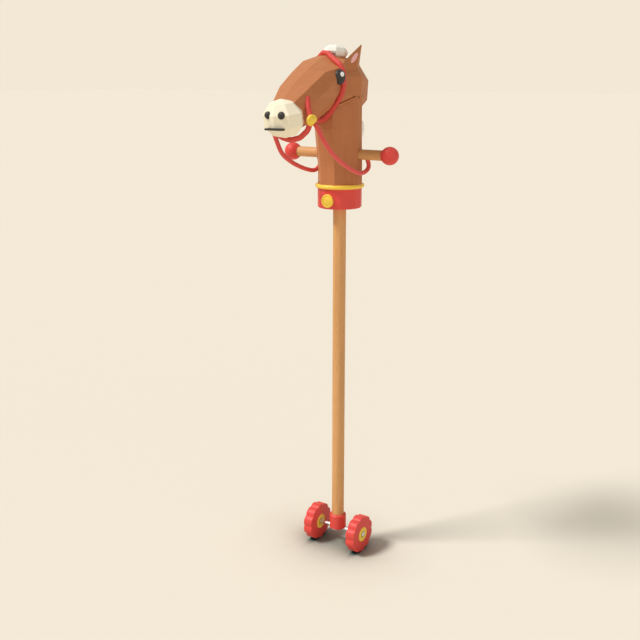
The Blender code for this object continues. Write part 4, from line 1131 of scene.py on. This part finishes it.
def steel(name):
    look = Look(name)
    rings = look.noise(look.place((1.0, 0.02, 0.02)), 2600.0, 2.0, 0.5)
    cloud = look.noise(look.place(), 160.0, 3.0, 0.6)
    colour = look.mix(cloud, (0.56, 0.57, 0.58), (0.72, 0.73, 0.74))
    look.set({"Base Color": colour, "Metallic": 1.0, "Roughness": 0.22 + cloud * 0.18})
    look.bump(rings, 0.00002, 0.0006)
    return look.material


def leather(name, colour):
    look = Look(name)
    spot = look.place()
    sockets = {"Vector": spot, "Scale": 900.0}
    grain = look.node("TexVoronoi", {"feature": "DISTANCE_TO_EDGE"}, sockets)
    cells = look.step(grain, 0.0, 0.25)
    cloud = look.noise(spot, 60.0, 3.0, 0.6)
    shade = look.mix(cloud, [c * 0.82 for c in colour], [min(1.0, c * 1.15) for c in colour])
    # Darker along the edges of the cells, where the grain sinks: painted shade in its creases.
    shade = look.mix((1.0 - cells) * 0.45, shade, [c * 0.55 for c in colour])
    look.set({"Base Color": shade, "Roughness": 0.50 + cloud * 0.12})
    look.bump(cells, 0.00008)
    return look.material


def braid(name, colour):
    look = Look(name)
    across = look.node("SeparateXYZ", sockets={0: look.node("TexCoord", output="UV")})
    along = Number(look, across.link.node.outputs[1])
    turns = across * (2 * math.pi * STRANDS)
    slant = along * (2 * math.pi / BRAID_LENGTH)
    one, two = (turns + slant).sine(), (turns - slant).sine()
    strands = one.maths("MAXIMUM", one, two) * 0.5 + 0.5
    fibres = look.noise(look.place(), 2200.0, 2.0, 0.6)
    # Darker where the strands dip under each other: painted shade in the grooves of the braid.
    shade = look.mix(look.step(strands, 0.35, 0.95), [c * 0.84 for c in colour], colour)
    shade = look.mix(fibres * 0.3, shade, [min(1.0, c * 1.25) for c in colour])
    look.set({"Base Color": shade, "Roughness": 0.78, "Sheen Weight": 0.3, "Sheen Roughness": 0.4})
    look.bump(strands + fibres * 0.25, 0.0003)
    return look.material


zinc = steel("zinc_plated_steel")
red_leather = leather("red_leather", (0.760, 0.064, 0.048))
red_cord = braid("red_braid", (0.740, 0.080, 0.066))

# %% [markdown]
# ## Putting the finishes on
# Each solid of the CAD model takes the finish of its slot, and so does each new piece. They could be
# dressed one by one, but a table keeps like pieces alike. A few have a finish of their own, because
# their grain runs another way, or because hair is paler than the muzzle that shares its slot.

# %% Dress the solids
def dress(piece, material):
    """Gives a piece this material and no other."""
    piece.data.materials.clear()
    piece.data.materials.append(material)


FINISHES = {
    "hand_bar": bar_wood,
    "pole_pin": bar_wood,
    "forelock": hair,
    **{f"mane_lock_{k}": hair for k in (1, 2, 3, 4)},
}
BY_SLOT = {
    "red_paint": red,
    "red_leather": red_leather,
    "red_cord": red_cord,
    "gold_paint": gold,
    "dowel_wood": pole_wood,
    "brown_wood": neck_wood,
    "cream_paint": cream,
    "dark_paint": dark,
    "white_paint": white,
    "pink_paint": pink,
    "steel": zinc,
}
for entry in frame["record"]["subparts"]:
    node = entry["node"]
    dress(frame["nodes"][node], FINISHES.get(node, BY_SLOT[entry["material_slot"]]))
for rein in reins:
    dress(rein, red_cord)
for strap in straps:
    dress(strap, red_leather)
for piece, slot in new_pieces.items():
    dress(piece, head_wood if piece in (head, left_ear, right_ear) else BY_SLOT[slot])
added = len(new_pieces) + len(reins) + len(straps)
print("dressed:", len(frame["nodes"]), "nodes and", added, "new pieces")
